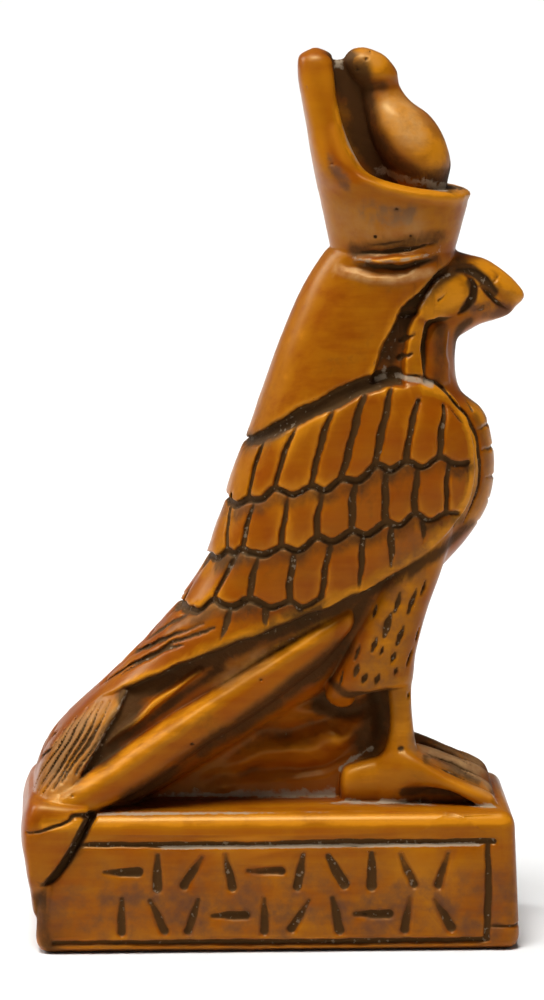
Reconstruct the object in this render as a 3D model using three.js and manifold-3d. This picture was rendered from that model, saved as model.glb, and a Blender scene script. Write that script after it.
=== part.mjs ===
// A small cast resin souvenir of a falcon that wears a tall double crown and stands on
// a block plinth. Bird, crown and plinth are one casting, so the model is one solid.
// Millimetres. +X is the way the falcon looks, +Z is up, and the origin is the middle
// of the plinth's underside. The falcon is the same on its left and its right.

import * as THREE from 'three';
import { LoftGeometry } from 'three/addons/geometries/LoftGeometry.js';
import { mergeVertices } from 'three/addons/utils/BufferGeometryUtils.js';
import Module from 'manifold-3d';

// Driving dimensions in millimetres.
const FIGURE_HEIGHT = 93.2; // from the plinth's top to the top of the crown
const PLINTH_HEIGHT = 17.6;
const TOE_MARGIN = 2.4; // from the toe tips to the plinth's front edge
const SIDE_MARGIN = 0.6; // from the tail's side to the plinth's side
const PLINTH_CORNER = 1.8; // radius of the plinth's upright corners
const PLINTH_BEVEL = 1.4; // the worn edge round the plinth's top
const PLINTH_LEAN = 0.45; // how far each end leans in at the top and out at the foot
const FLAP_THICKNESS = 0.9; // how far the tail's end stands off the plinth it hangs over
const FRAME_TOP_INSET = 3.4; // from the plinth's top to the frame line below it
const FRAME_SIDE_INSET = 3.4; // from the plinth's front end to the upright frame line
const FRAME_BOTTOM_INSET = 1.1; // from the underside to the lowest frame line
const FRAME_LINE_WIDTH = 0.7;
const FRAME_LINE_DEPTH = 0.5;
const STROKE_DEPTH = 0.45;
const STROKE_WIDTH = 0.8;
const STROKE_PITCH = 4.4; // from one stroke of a row to the next
const STROKE_ROWS = 2;

// The figure is drawn in hundredths of its height: x from the plinth's rear end,
// y from the middle plane, z from the plinth's top.
const UNIT = FIGURE_HEIGHT / 100;
const TOE_REACH = 60.8;
const TAIL_HALF_WIDTH = 12.2;
const PLINTH_LENGTH = TOE_REACH * UNIT + TOE_MARGIN;
const PLINTH_WIDTH = 2 * (TAIL_HALF_WIDTH * UNIT + SIDE_MARGIN);
const REAR = -PLINTH_LENGTH / 2;

// Carving, in hundredths of the figure's height.
const WING_RELIEF = 2.0; // how far hood and wings stand off the body
const TAIL_RECESS = 2.3; // how deep the hollow between wing and tail is
const FAN_RELIEF = 1.0; // how far the tail fan stands off that hollow
const BACK_INSET = 0.5; // the body stays this far inside the hood's back line
const CHEEK_INSET = 0.5; // how far the cheek lies below the hood
const QUILL_WIDTH = 0.85;
const QUILL_DEPTH = 0.75;
const FINE_WIDTH = 0.7;
const FINE_DEPTH = 0.85;
const GROOVE_LIFT = 1.0; // how far a cutter starts above the surface

// Facets round a ring.
const BODY_FACETS = 18;
const CORE_FACETS = 14;
const LIMB_FACETS = 8;
const BULB_FACETS = 12;

const MERGE_DISTANCE = 1e-5;
const THROUGH = 20; // half width of a cutter that passes through the whole figure
const SEARCH_STEPS = 16; // places tried between two ribs
const BACK_RUN = 0.2; // share of a groove's first stretch that stays level at the back

const wasm = await Module();
wasm.setup();

function place(x, y, z) {
  return new THREE.Vector3(REAR + x * UNIT, y * UNIT, PLINTH_HEIGHT + z * UNIT);
}

// Joining and cutting.

function solidOf(geometry) {
  const bare = new THREE.BufferGeometry();
  bare.setIndex(geometry.index);
  bare.setAttribute('position', geometry.attributes.position);
  const merged = mergeVertices(bare, MERGE_DISTANCE);
  return new wasm.Manifold(new wasm.Mesh({
    numProp: 3,
    vertProperties: new Float32Array(merged.attributes.position.array),
    triVerts: new Uint32Array(merged.index.array),
  }));
}

function join(solids) {
  return solids.reduce((whole, solid) => whole.add(solid));
}

function geometryOf(solid) {
  const mesh = solid.getMesh();
  const geometry = new THREE.BufferGeometry();
  geometry.setAttribute('position', new THREE.BufferAttribute(mesh.vertProperties, 3));
  geometry.setIndex(new THREE.BufferAttribute(mesh.triVerts, 1));
  geometry.computeVertexNormals();
  return geometry;
}

function middleOf(ring) {
  const sum = ring.reduce((total, point) => total.add(point), new THREE.Vector3());
  return sum.divideScalar(ring.length);
}

// A loft whose rings face the right way whichever way it runs.
function loftSolid(rings) {
  const [first, second] = rings;
  const middle = middleOf(first);
  const normal = new THREE.Vector3();
  first.forEach((point, i) => {
    const next = first[(i + 1) % first.length].clone().sub(middle);
    normal.add(point.clone().sub(middle).cross(next));
  });
  const along = middleOf(second).sub(middle);
  const ordered = normal.dot(along) > 0 ? rings : rings.map((ring) => [...ring].reverse());
  return solidOf(new LoftGeometry(ordered, { capStart: true, capEnd: true }));
}

// A form is a row of ribs. Each rib is [x, z, x, z, halfWidth, power, side]: it runs
// from the first point to the second in side view, bulges halfWidth to the left and
// right as a superellipse of that power, about a middle that is side off the centre.
class RibForm {
  constructor(ribs) {
    this.count = ribs.length;
    this.start = new THREE.SplineCurve(ribs.map((rib) => new THREE.Vector2(rib[0], rib[1])));
    this.end = new THREE.SplineCurve(ribs.map((rib) => new THREE.Vector2(rib[2], rib[3])));
    this.body = new THREE.SplineCurve(ribs.map((rib) => new THREE.Vector2(rib[4], rib[5])));
    this.side = new THREE.SplineCurve(ribs.map((rib) => new THREE.Vector2(rib[6] ?? 0, 0)));
  }

  // angle 0 is the rib's first point, PI its second, and the right side lies between
  point(t, angle) {
    const start = this.start.getPoint(t);
    const end = this.end.getPoint(t);
    const body = this.body.getPoint(t);
    const turn = (value) => Math.sign(value) * Math.abs(value) ** (2 / body.y);
    const along = 0.5 - turn(Math.cos(angle)) / 2;
    const out = -turn(Math.sin(angle)) * body.x + this.side.getPoint(t).x;
    const spot = start.lerp(end, along);
    return place(spot.x, out, spot.y);
  }

  // the direction straight out of the surface
  normal(t, angle) {
    const step = 1e-3;
    const low = THREE.MathUtils.clamp(t, step, 1 - step);
    const around = this.point(low, angle + step).sub(this.point(low, angle - step));
    const down = this.point(low + step, angle).sub(this.point(low - step, angle));
    const normal = around.cross(down).normalize();
    const inside = this.start.getPoint(low).lerp(this.end.getPoint(low), 0.5);
    const outward = this.point(low, angle).sub(place(inside.x, this.side.getPoint(low).x, inside.y));
    return normal.dot(outward) < 0 ? normal.negate() : normal;
  }

  solid(points = LIMB_FACETS) {
    const rows = this.count - 1;
    const rings = [];
    for (let row = 0; row <= rows; row++) {
      const ring = [];
      for (let i = 0; i < points; i++) {
        ring.push(this.point(row / rows, (i / points) * 2 * Math.PI));
      }
      rings.push(ring);
    }
    return loftSolid(rings);
  }

  // the place on the right side that shows at x, z in side view, as [t, angle]
  locate(x, z) {
    const rows = (this.count - 1) * SEARCH_STEPS;
    let best = [0, 0, Infinity];
    for (let row = 0; row <= rows; row++) {
      const t = row / rows;
      const start = this.start.getPoint(t);
      const rib = this.end.getPoint(t).sub(start);
      const offset = new THREE.Vector2(x, z).sub(start);
      const along = offset.dot(rib) / rib.lengthSq();
      const miss = Math.abs(offset.cross(rib)) / rib.length();
      const outside = Math.max(0, -along, along - 1) * rib.length();
      if (miss + outside < best[2]) best = [t, along, miss + outside];
    }
    const [t, along] = best;
    const reach = THREE.MathUtils.clamp(1 - 2 * along, -1, 1);
    const power = this.body.getPoint(t).y;
    return [t, Math.acos(Math.sign(reach) * Math.abs(reach) ** (power / 2))];
  }
}

// the same ribs with narrower sides, and their first ends drawn in by backInset
function inset(ribs, amount, backInset = 0) {
  return ribs.map(([x0, z0, x1, z1, halfWidth, power], i) => {
    const share = backInset / Math.hypot(x1 - x0, z1 - z0);
    const less = typeof amount === 'function' ? amount(i) : amount;
    return [x0 + (x1 - x0) * share, z0 + (z1 - z0) * share, x1, z1, halfWidth - less, power];
  });
}

// A side view outline through the whole figure, from one side to the other.
function outlineSolid(points, halfWidth = THROUGH) {
  const shape = new THREE.Shape(points.map(([x, z]) => new THREE.Vector2(x, z)));
  const geometry = new THREE.ExtrudeGeometry(shape, { depth: 2 * halfWidth, bevelEnabled: false });
  const position = geometry.attributes.position;
  for (let i = 0; i < position.count; i++) {
    const corner = place(position.getX(i), halfWidth - position.getZ(i), position.getY(i));
    position.setXYZ(i, corner.x, corner.y, corner.z);
  }
  return solidOf(geometry);
}

function smoothOutline(points, count) {
  const curve = new THREE.SplineCurve(points.map(([x, z]) => new THREE.Vector2(x, z)));
  return curve.getPoints(count).map((point) => [point.x, point.y]);
}

function mirrored(solid) {
  const { vertProperties, triVerts } = solid.getMesh();
  for (let i = 1; i < vertProperties.length; i += 3) vertProperties[i] *= -1;
  for (let i = 0; i < triVerts.length; i += 3) {
    [triVerts[i], triVerts[i + 1]] = [triVerts[i + 1], triVerts[i]];
  }
  return new wasm.Manifold(new wasm.Mesh({ numProp: 3, vertProperties, triVerts }));
}

function bothSides(solid) {
  return solid.add(mirrored(solid));
}

// A groove is a V cut along a path on a form. A place on the path is [x, z] in side
// view, or { t, angle } on the form. sizes scale its width and depth from end to end,
// and back is the place on the back's middle line that it starts from, if it does.
function groove(form, path, { width, depth, sizes = [0.4, 1, 1, 0.4], back = null }) {
  const spots = path.map((spot) => {
    const [t, angle] = Array.isArray(spot) ? form.locate(...spot) : [spot.t, spot.angle];
    return new THREE.Vector2(t, angle);
  });
  if (back) {
    const middle = new THREE.Vector2(form.locate(...back)[0], 0);
    spots.unshift(middle, middle.clone().lerp(spots[0], BACK_RUN));
  }
  const curve = new THREE.SplineCurve(spots);
  const scale = new THREE.SplineCurve(sizes.map((size) => new THREE.Vector2(size, 0)));
  const rows = spots.length - 1;
  const step = 0.01;
  const rings = [];
  for (let row = 0; row <= rows; row++) {
    const u = row / rows;
    const spot = curve.getPoint(u);
    const behind = curve.getPoint(Math.max(u - step, 0));
    const ahead = curve.getPoint(Math.min(u + step, 1));
    const point = form.point(spot.x, spot.y);
    const out = form.normal(spot.x, spot.y);
    const along = form.point(ahead.x, ahead.y).sub(form.point(behind.x, behind.y));
    const across = along.cross(out).normalize();
    const deep = depth * scale.getPoint(u).x * UNIT;
    const lift = GROOVE_LIFT * UNIT;
    const half = (width / 2) * scale.getPoint(u).x * UNIT * ((deep + lift) / deep);
    const ring = [
      point.clone().addScaledVector(out, lift).addScaledVector(across, half),
      point.clone().addScaledVector(out, -deep),
      point.clone().addScaledVector(out, lift).addScaledVector(across, -half),
    ];
    if (back && row === 0) ring.forEach((corner) => corner.setY(0));
    rings.push(ring);
  }
  return loftSolid(rings);
}

// Trunk: hood, body, folded wings and tail, from the crown's foot down to the tail's end.
const TRUNK_RIBS = [
  [38.9, 73.8, 55.3, 73.8, 6.5, 2.3],
  [36.4, 70.2, 55.9, 69.8, 6.9, 2.4],
  [33.9, 65.2, 55.9, 63.8, 7.6, 2.5],
  [31.9, 60.2, 55.4, 58.8, 8.4, 2.5],
  [29.7, 53.9, 56.2, 54.6, 9.4, 2.5],
  [28.7, 50.9, 59.0, 51.9, 9.8, 2.5],
  [27.6, 47.9, 60.1, 49.2, 10.1, 2.5],
  [25.7, 42.8, 60.8, 44.7, 10.4, 2.5],
  [23.9, 37.1, 59.9, 39.3, 10.4, 2.5],
  [22.2, 32.1, 57.0, 34.6, 10.3, 2.6],
  [20.1, 28.0, 53.2, 30.2, 10.1, 2.6],
  [16.8, 24.0, 48.2, 23.1, 10.0, 2.7],
  [12.8, 19.3, 39.6, 15.3, 9.9, 2.8],
  [8.2, 14.7, 28.8, 8.8, 10.2, 2.9],
  [3.4, 10.2, 18.1, 2.4, 10.9, 3.1],
  [0.6, 6.0, 10.0, -2.1, 11.6, 3.3],
  [-1.0, 0.5, 4.0, -4.5, 12.0, 3.5],
];

// The hood's front edge, then the wing round to its tip, and back outside the figure.
const HOOD_AND_WING = [
  [56.2, 76.0],
  ...smoothOutline([[55.6, 73.0], [51.4, 69.7], [48.7, 65.0], [47.2, 60.5], [46.0, 56.5]], 6),
  ...smoothOutline([
    [47.2, 56.4], [51.4, 56.3], [54.7, 54.7], [56.9, 51.4], [57.7, 46.7], [57.2, 42.1],
    [55.4, 38.1], [51.5, 34.5], [46.9, 31.5], [41.0, 28.5], [35.2, 25.9], [29.8, 24.1],
  ], 16),
  ...smoothOutline([
    [24.5, 22.1], [19.0, 20.3], [13.7, 17.9], [8.4, 14.9], [3.0, 10.3], [-3.0, 6.0],
  ], 6),
  [-6.0, 10.0],
  [20.0, 60.0],
  [34.0, 76.0],
];

const CHEEK = [
  ...smoothOutline([[48.4, 56.4], [49.3, 61.2], [51.2, 65.4], [53.0, 68.8], [54.9, 70.3]], 6),
  ...smoothOutline([[56.3, 69.3], [56.4, 67.2], [55.4, 65.6], [52.8, 64.2], [51.6, 61.5]], 6),
  [51.2, 56.4],
];

const FAN = [
  [9.0, 18.0], [12.0, 16.2], [5.4, 5.4], [-0.6, 1.6], [-4.0, 3.0], [-3.0, 9.0],
];

// The tail is a thick board that carries the fan. Its rounded side shows as a bar.
const TAIL_RIBS = [
  [41.5, 27.4, 42.0, 23.6, 8.4, 3.5],
  [36.0, 24.6, 38.4, 19.2, 9.2, 3.5],
  [30.5, 21.0, 33.4, 15.2, 9.7, 3.5],
  [25.0, 17.3, 28.1, 11.3, 10.1, 3.5],
  [19.3, 14.0, 22.8, 7.9, 10.5, 3.5],
  [14.0, 10.6, 17.5, 4.3, 11.0, 3.5],
  [9.1, 7.3, 12.3, 1.2, 11.5, 3.5],
  [4.4, 4.4, 7.4, -0.8, 12.0, 3.5],
  [0.2, 2.2, 3.4, -1.6, TAIL_HALF_WIDTH, 3.5],
  [-1.4, 0.9, 0.6, -1.8, TAIL_HALF_WIDTH - 0.5, 3.5],
];

const trunk = new RibForm(TRUNK_RIBS);
const fanForm = new RibForm(inset(TRUNK_RIBS, TAIL_RECESS - FAN_RELIEF));
const cheekForm = new RibForm(inset(TRUNK_RIBS, CHEEK_INSET));
const tail = new RibForm(TAIL_RIBS);

const TAIL_START = 10; // the rib below which the body lies TAIL_RECESS deep

function trunkSolid() {
  const depth = (i) => (i > TAIL_START ? TAIL_RECESS : WING_RELIEF);
  const core = new RibForm(inset(TRUNK_RIBS, depth, BACK_INSET)).solid(CORE_FACETS);
  const cloak = trunk.solid(BODY_FACETS).intersect(outlineSolid(HOOD_AND_WING));
  const cheek = cheekForm.solid(BODY_FACETS).intersect(outlineSolid(CHEEK));
  const fan = fanForm.solid(BODY_FACETS).intersect(outlineSolid(FAN));
  const board = tail.solid(BODY_FACETS);
  return join([core, cloak, cheek, fan, board]);
}

// Carving of the wings. Each quill line is [x, z] at its top and [x, z] at its foot.
// The feathers of a row end in scallops from one quill's foot to the next.
const QUILL = { width: QUILL_WIDTH, depth: QUILL_DEPTH };
const FINE = { width: FINE_WIDTH, depth: FINE_DEPTH };
const SCALLOP_SAG = 1.0;
const VALLEY = [[30.0, 50.3], [34.4, 52.6], [41.0, 55.0], [47.0, 57.0]];
const VALLEY_CUT = { width: 1.7, depth: 1.2, sizes: [0.6, 0.6, 1, 1.3], back: [27.7, 47.9] };
// the groove that parts the wing from breast, belly and tail
const WING_EDGE = [
  [53.4, 55.0], [57.2, 50.0], [57.5, 44.0], [54.8, 37.4], [49.0, 32.8], [41.0, 28.5],
  [33.0, 25.3], [24.5, 22.1], [16.0, 19.0],
];
const EDGE_CUT = { width: 2.0, depth: 1.6, sizes: [0.3, 0.8, 1, 1, 1.2, 0.6] };
const FEATHER_ROWS = [
  {
    quills: [
      [29.3, 49.6, 27.6, 42.5], [33.4, 51.0, 31.3, 43.6], [38.6, 53.0, 36.1, 44.0],
      [42.6, 54.6, 39.8, 44.6], [46.3, 55.0, 44.1, 45.9], [49.7, 54.2, 47.9, 46.7],
      [53.1, 52.6, 52.6, 47.1],
    ],
    back: [25.0, 40.4],
    front: [[56.2, 46.7]],
  },
  {
    quills: [
      [25.6, 41.2, 25.2, 35.6], [28.6, 40.6, 27.2, 35.2], [32.8, 41.6, 32.1, 35.3],
      [37.1, 42.7, 36.6, 36.6], [41.5, 43.7, 41.2, 37.9], [45.6, 45.0, 45.4, 38.7],
      [49.6, 45.6, 49.2, 39.8], [53.9, 46.2, 53.6, 40.1],
    ],
    back: [22.6, 32.6],
    front: [[55.4, 40.3]],
  },
  {
    quills: [
      [24.6, 33.6, 22.9, 28.2], [28.6, 33.5, 27.8, 28.1], [33.6, 34.5, 33.1, 28.2],
      [38.6, 35.5, 37.4, 28.5],
    ],
    back: [19.2, 26.8],
    front: [],
  },
];
const LOOSE_QUILLS = [
  [42.6, 36.6, 42.1, 30.3], [46.3, 37.8, 46.5, 33.0], [50.5, 38.8, 50.8, 36.0],
];
// The long flight feathers fan out from below the rows and run down the back.
const PRIMARY_COUNT = 3;
const PRIMARY_TOP = { t: 0.66, angle: 0.5, fan: 0.2 };
const PRIMARY_FOOT = { t: 0.77, angle: 0.3, drop: 0.05 };
const FAN_LINES = [
  [[9.0, 14.2], [6.6, 10.0], [3.2, 4.8]],
  [[7.0, 12.6], [4.4, 8.6], [1.8, 4.4]],
  [[4.8, 10.8], [2.6, 7.4], [0.4, 3.8]],
];

function featherCuts() {
  const cuts = [groove(trunk, VALLEY, VALLEY_CUT), groove(trunk, WING_EDGE, EDGE_CUT)];
  for (const { quills, back, front } of FEATHER_ROWS) {
    const feet = quills.map(([, , x, z]) => [x, z]);
    quills.forEach(([x0, z0, x1, z1]) => cuts.push(groove(trunk, [[x0, z0], [x1, z1]], QUILL)));
    const line = feet.flatMap(([x, z], i) => {
      if (i === 0) return [[x, z]];
      const [fromX, fromZ] = feet[i - 1];
      return [[(fromX + x) / 2, (fromZ + z) / 2 - SCALLOP_SAG], [x, z]];
    });
    cuts.push(groove(trunk, [...line, ...front], { ...QUILL, sizes: [0.8, 1, 1, 0.6], back }));
  }
  LOOSE_QUILLS.forEach(([x0, z0, x1, z1]) => {
    cuts.push(groove(trunk, [[x0, z0], [x1, z1]], { ...QUILL, sizes: [1, 0.8, 0.3] }));
  });
  for (let i = 0; i < PRIMARY_COUNT; i++) {
    const top = { t: PRIMARY_TOP.t, angle: PRIMARY_TOP.angle + i * PRIMARY_TOP.fan };
    const foot = { t: PRIMARY_FOOT.t + i * PRIMARY_FOOT.drop, angle: PRIMARY_FOOT.angle };
    const middle = {
      t: (top.t + foot.t) / 2,
      angle: (top.angle + foot.angle) / 2,
    };
    cuts.push(groove(trunk, [top, middle, foot], FINE));
  }
  FAN_LINES.forEach((path) => cuts.push(groove(fanForm, path, FINE)));
  return join(cuts);
}

// Head and hooked beak.
const HEAD_RIBS = [
  [52.0, 73.4, 52.0, 60.5, 4.4, 2.3],
  [54.8, 73.2, 54.8, 61.2, 4.5, 2.3],
  [57.0, 72.6, 56.9, 62.4, 4.1, 2.2],
  [59.3, 72.0, 58.7, 63.4, 3.5, 2.2],
  [61.2, 70.9, 60.6, 64.0, 2.8, 2.1],
  [62.9, 69.5, 62.4, 64.7, 2.0, 2.1],
  [64.0, 68.2, 63.5, 65.8, 1.2, 2.0],
  [64.6, 67.3, 64.4, 66.5, 0.5, 2.0],
];

const MOUTH = [[55.8, 71.6], [58.4, 70.4], [60.0, 68.2], [62.0, 65.9]];
const EYE = [53.6, 68.0];
const EYE_RADIUS = 0.7;

function headSolid() {
  const head = new RibForm(HEAD_RIBS);
  const mouth = groove(head, MOUTH, { width: 0.9, depth: 0.6 });
  return head.solid(BULB_FACETS).subtract(bothSides(mouth));
}

function eyeCut() {
  const [t, angle] = cheekForm.locate(...EYE);
  const geometry = new THREE.IcosahedronGeometry(EYE_RADIUS * UNIT, 1);
  geometry.translate(...cheekForm.point(t, angle).toArray());
  return solidOf(geometry);
}

// The red crown: a flaring cup whose back runs up into a tall spike.
const CUP_RIBS = [
  [39.2, 72.6, 55.2, 72.8, 6.4, 2.3],
  [38.4, 76.4, 56.2, 76.4, 6.9, 2.3],
  [37.6, 80.0, 57.0, 79.7, 7.5, 2.3],
  [37.2, 81.6, 56.4, 81.6, 7.6, 2.4],
  [36.9, 83.0, 51.5, 82.1, 7.5, 2.4],
  [36.6, 84.6, 47.6, 83.4, 7.0, 2.4],
  [36.2, 86.8, 44.9, 85.7, 6.2, 2.4],
  [35.8, 89.6, 43.1, 89.0, 5.2, 2.4],
  [35.2, 93.0, 41.5, 93.3, 4.2, 2.4],
  [34.6, 96.0, 40.6, 96.5, 3.5, 2.4],
  [34.6, 98.6, 39.7, 98.7, 2.8, 2.3],
  [35.8, 99.9, 38.0, 100.0, 1.4, 2.2],
];

// The white crown: a bulb with a waist and a knob, seated in the cup.
const BULB_RIBS = [
  [46.2, 79.6, 52.6, 79.8, 3.2, 2.0],
  [45.2, 82.6, 54.0, 82.7, 4.2, 2.0],
  [44.4, 85.4, 54.4, 85.3, 4.8, 2.0],
  [44.0, 88.2, 53.8, 88.3, 4.9, 2.0],
  [43.6, 90.8, 52.0, 90.9, 4.3, 2.0],
  [43.2, 92.6, 49.3, 92.9, 3.3, 2.0],
  [42.4, 94.2, 48.0, 94.6, 2.9, 2.0],
  [41.2, 96.4, 47.5, 96.8, 3.0, 2.0],
  [40.6, 98.4, 46.2, 98.6, 2.6, 2.0],
  [41.4, 99.9, 44.4, 99.9, 1.4, 2.0],
];
// the dark line between the cup's rim and the bulb, on up beside the spike
const CREVICE = [[54.6, 81.6], [50.4, 82.3], [46.8, 83.9], [44.2, 86.5], [42.6, 90.0], [41.0, 95.0]];
// what fills the crown between the spike and the bulb
const CROWN_CORE = [
  [38.0, 84.0], [46.0, 84.0], [45.5, 91.5], [43.6, 96.5], [41.6, 98.6], [39.2, 98.3], [37.6, 96.0],
];
const CROWN_CORE_HALF_WIDTH = 2.2;

function crownSolid() {
  const cup = new RibForm(CUP_RIBS);
  const crevice = groove(cup, CREVICE, { width: 1.3, depth: 1.3 });
  const shell = cup.solid(BODY_FACETS).add(outlineSolid(CROWN_CORE, CROWN_CORE_HALF_WIDTH));
  return shell.subtract(bothSides(crevice)).add(new RibForm(BULB_RIBS).solid(BULB_FACETS));
}

// Legs: a feathered thigh, a shank, and a foot with three toes and a hind toe.
const THIGH_RIBS = [
  [46.5, 36.5, 55.6, 38.0, 4.0, 2.4, -4.4],
  [44.9, 29.6, 53.8, 32.6, 4.0, 2.4, -4.7],
  [41.9, 23.2, 51.7, 25.9, 3.9, 2.5, -4.9],
  [39.9, 18.5, 50.3, 21.0, 3.7, 2.6, -4.9],
  [38.5, 15.6, 49.8, 18.0, 3.4, 2.7, -4.9],
  [38.4, 13.9, 49.5, 16.0, 3.1, 2.8, -4.9],
];
const SHANK_RIBS = [
  [46.3, 18.5, 49.6, 18.5, 1.8, 2.3, -4.8],
  [46.6, 14.0, 49.6, 14.0, 1.7, 2.3, -4.8],
  [46.7, 10.0, 49.9, 10.0, 1.7, 2.3, -4.8],
  [46.2, 7.0, 50.4, 7.0, 1.9, 2.3, -4.9],
  [45.2, 4.4, 51.6, 4.4, 2.2, 2.3, -5.0],
];
const SOLE = -0.4; // feet sink this far into the plinth
const HIND_TOE_RIBS = [
  [40.3, 3.6, 40.3, SOLE, 1.3, 2.4, -4.5],
  [41.2, 4.5, 41.2, SOLE, 1.8, 2.6, -4.5],
  [44.8, 5.6, 44.8, SOLE, 1.9, 2.6, -4.7],
  [48.4, 6.4, 48.4, SOLE, 2.1, 2.6, -5.0],
];
const FOOT_SIDE = -5; // the middle of the foot, to the right of the figure's middle
const TOE_START = 47.2; // where the toes leave the foot
const TOE_TIPS = [-8.3, -5.4, -2.5];
const TOE_ARCH = 2.2; // the hollow under the outer toe
const TOE_RISE = 0.9; // how much higher each toe lies than the one outside it
const TOE_SPREAD = 0.3; // share of the spread that is left where the toes leave the foot

function toeRibs(tip, arch, rise) {
  const root = FOOT_SIDE + (tip - FOOT_SIDE) * TOE_SPREAD;
  const side = (share) => root + (tip - root) * share;
  const front = (share) => TOE_START + (TOE_REACH - TOE_START) * share;
  return [
    [front(0), 7.0, front(0), SOLE, 1.7, 2.4, root],
    [front(0.3), 6.5 + rise / 2, front(0.3), SOLE + arch, 1.7, 2.4, side(0.25)],
    [front(0.6), 3.9 + rise, front(0.6), SOLE + arch, 1.7, 2.4, side(0.65)],
    [front(0.9), 1.9 + rise, front(0.9), SOLE, 1.5, 2.4, side(1)],
    [front(1), 1.0 + rise / 2, front(1), SOLE, 0.8, 2.4, side(1.05)],
  ];
}

function legSolid() {
  const thigh = new RibForm(THIGH_RIBS).solid();
  const hock = new RibForm([
    [38.6, 16.4, 42.6, 16.0, 2.2, 2.2, -5.0],
    [38.3, 14.4, 42.2, 14.0, 2.0, 2.2, -5.0],
    [38.9, 12.9, 41.4, 12.6, 1.2, 2.2, -5.0],
  ]).solid();
  const shank = new RibForm(SHANK_RIBS).solid();
  const hindToe = new RibForm(HIND_TOE_RIBS).solid();
  const toes = TOE_TIPS.map((tip, i) => (
    new RibForm(toeRibs(tip, i === 0 ? TOE_ARCH : 0, i * TOE_RISE)).solid()
  ));
  return join([thigh, hock, shank, hindToe, ...toes]);
}

// The solid web that fills the space between tail, legs and plinth.
const WEB_HALF_WIDTH = 2.8;
const WEB = [
  [10.0, -0.5], [12.0, 3.5], [20.0, 9.0], [30.0, 15.5], [40.0, 24.0], [47.0, 24.0],
  [46.6, 12.0], [47.5, 6.0], [49.0, -0.5],
];

// Plinth with the tail's end hanging over its rear.
function plinthSolid() {
  const halfLength = PLINTH_LENGTH / 2 - PLINTH_BEVEL;
  const halfWidth = PLINTH_WIDTH / 2 - PLINTH_BEVEL;
  const corner = Math.max(PLINTH_CORNER - PLINTH_BEVEL, 0.1);
  const shape = new THREE.Shape();
  shape.moveTo(halfLength - corner, -halfWidth);
  shape.absarc(halfLength - corner, -halfWidth + corner, corner, -Math.PI / 2, 0);
  shape.absarc(halfLength - corner, halfWidth - corner, corner, 0, Math.PI / 2);
  shape.absarc(-halfLength + corner, halfWidth - corner, corner, Math.PI / 2, Math.PI);
  shape.absarc(-halfLength + corner, -halfWidth + corner, corner, Math.PI, Math.PI * 1.5);
  const slab = new THREE.ExtrudeGeometry(shape, {
    depth: PLINTH_HEIGHT - 2 * PLINTH_BEVEL,
    bevelThickness: PLINTH_BEVEL,
    bevelSize: PLINTH_BEVEL,
    bevelSegments: 2,
    curveSegments: 2,
  });
  slab.translate(0, 0, PLINTH_BEVEL);
  const position = slab.attributes.position;
  for (let i = 0; i < position.count; i++) {
    const lean = PLINTH_LEAN * (1 - (2 * position.getZ(i)) / PLINTH_HEIGHT);
    position.setX(i, position.getX(i) + Math.sign(position.getX(i)) * lean);
  }
  return solidOf(slab);
}

// The tail's end: a cap over the plinth's rear corners that thins out down the rear face.
// Its ribs hang down by shares of the plinth's height.
const DROP = PLINTH_HEIGHT / UNIT;
const FLAP = FLAP_THICKNESS / UNIT;
const FLAP_HALF_WIDTH = PLINTH_WIDTH / 2 / UNIT + FLAP;
const FLAP_RIBS = [
  [-FLAP, 1.8, 7.4, 1.0, FLAP_HALF_WIDTH - 0.8, 7],
  [-FLAP - 1.1, -0.04 * DROP, 6.7, -0.05 * DROP, FLAP_HALF_WIDTH, 7],
  [-FLAP - 1.3, -0.19 * DROP, 4.9, -0.21 * DROP, FLAP_HALF_WIDTH, 7],
  [-FLAP - 0.9, -0.34 * DROP, 2.9, -0.37 * DROP, FLAP_HALF_WIDTH, 6],
  [-FLAP - 0.6, -0.46 * DROP, 1.2, -0.49 * DROP, FLAP_HALF_WIDTH - 0.5, 6],
  [-FLAP - 0.2, -0.6 * DROP, 0.8, -0.63 * DROP, FLAP_HALF_WIDTH - 2.2, 5],
  [-FLAP + 0.2, -0.76 * DROP, 0.8, -0.77 * DROP, FLAP_HALF_WIDTH - 3.0, 5],
];

// The framed panel on each long face, with its rows of shallow strokes.
const STROKE_TILTS = [0, 24, -18, 90, 0, -32, 12, 90, -10, 30];
const STROKE_FILL = 0.6; // share of a row's height that a stroke takes
const PANEL_START = 8.6; // from the plinth's rear end, in hundredths of the figure's height

// a cut in the right long face, from an outline in x and z
function faceCut(points, depth) {
  const shape = new THREE.Shape(points.map(([x, z]) => new THREE.Vector2(x, z)));
  const geometry = new THREE.ExtrudeGeometry(shape, { depth: 2 * depth, bevelEnabled: false });
  geometry.rotateX(Math.PI / 2);
  geometry.translate(0, -PLINTH_WIDTH / 2 + depth, 0);
  return solidOf(geometry);
}

function bar(x0, z0, x1, z1) {
  return faceCut([[x0, z0], [x1, z0], [x1, z1], [x0, z1]], FRAME_LINE_DEPTH);
}

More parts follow.
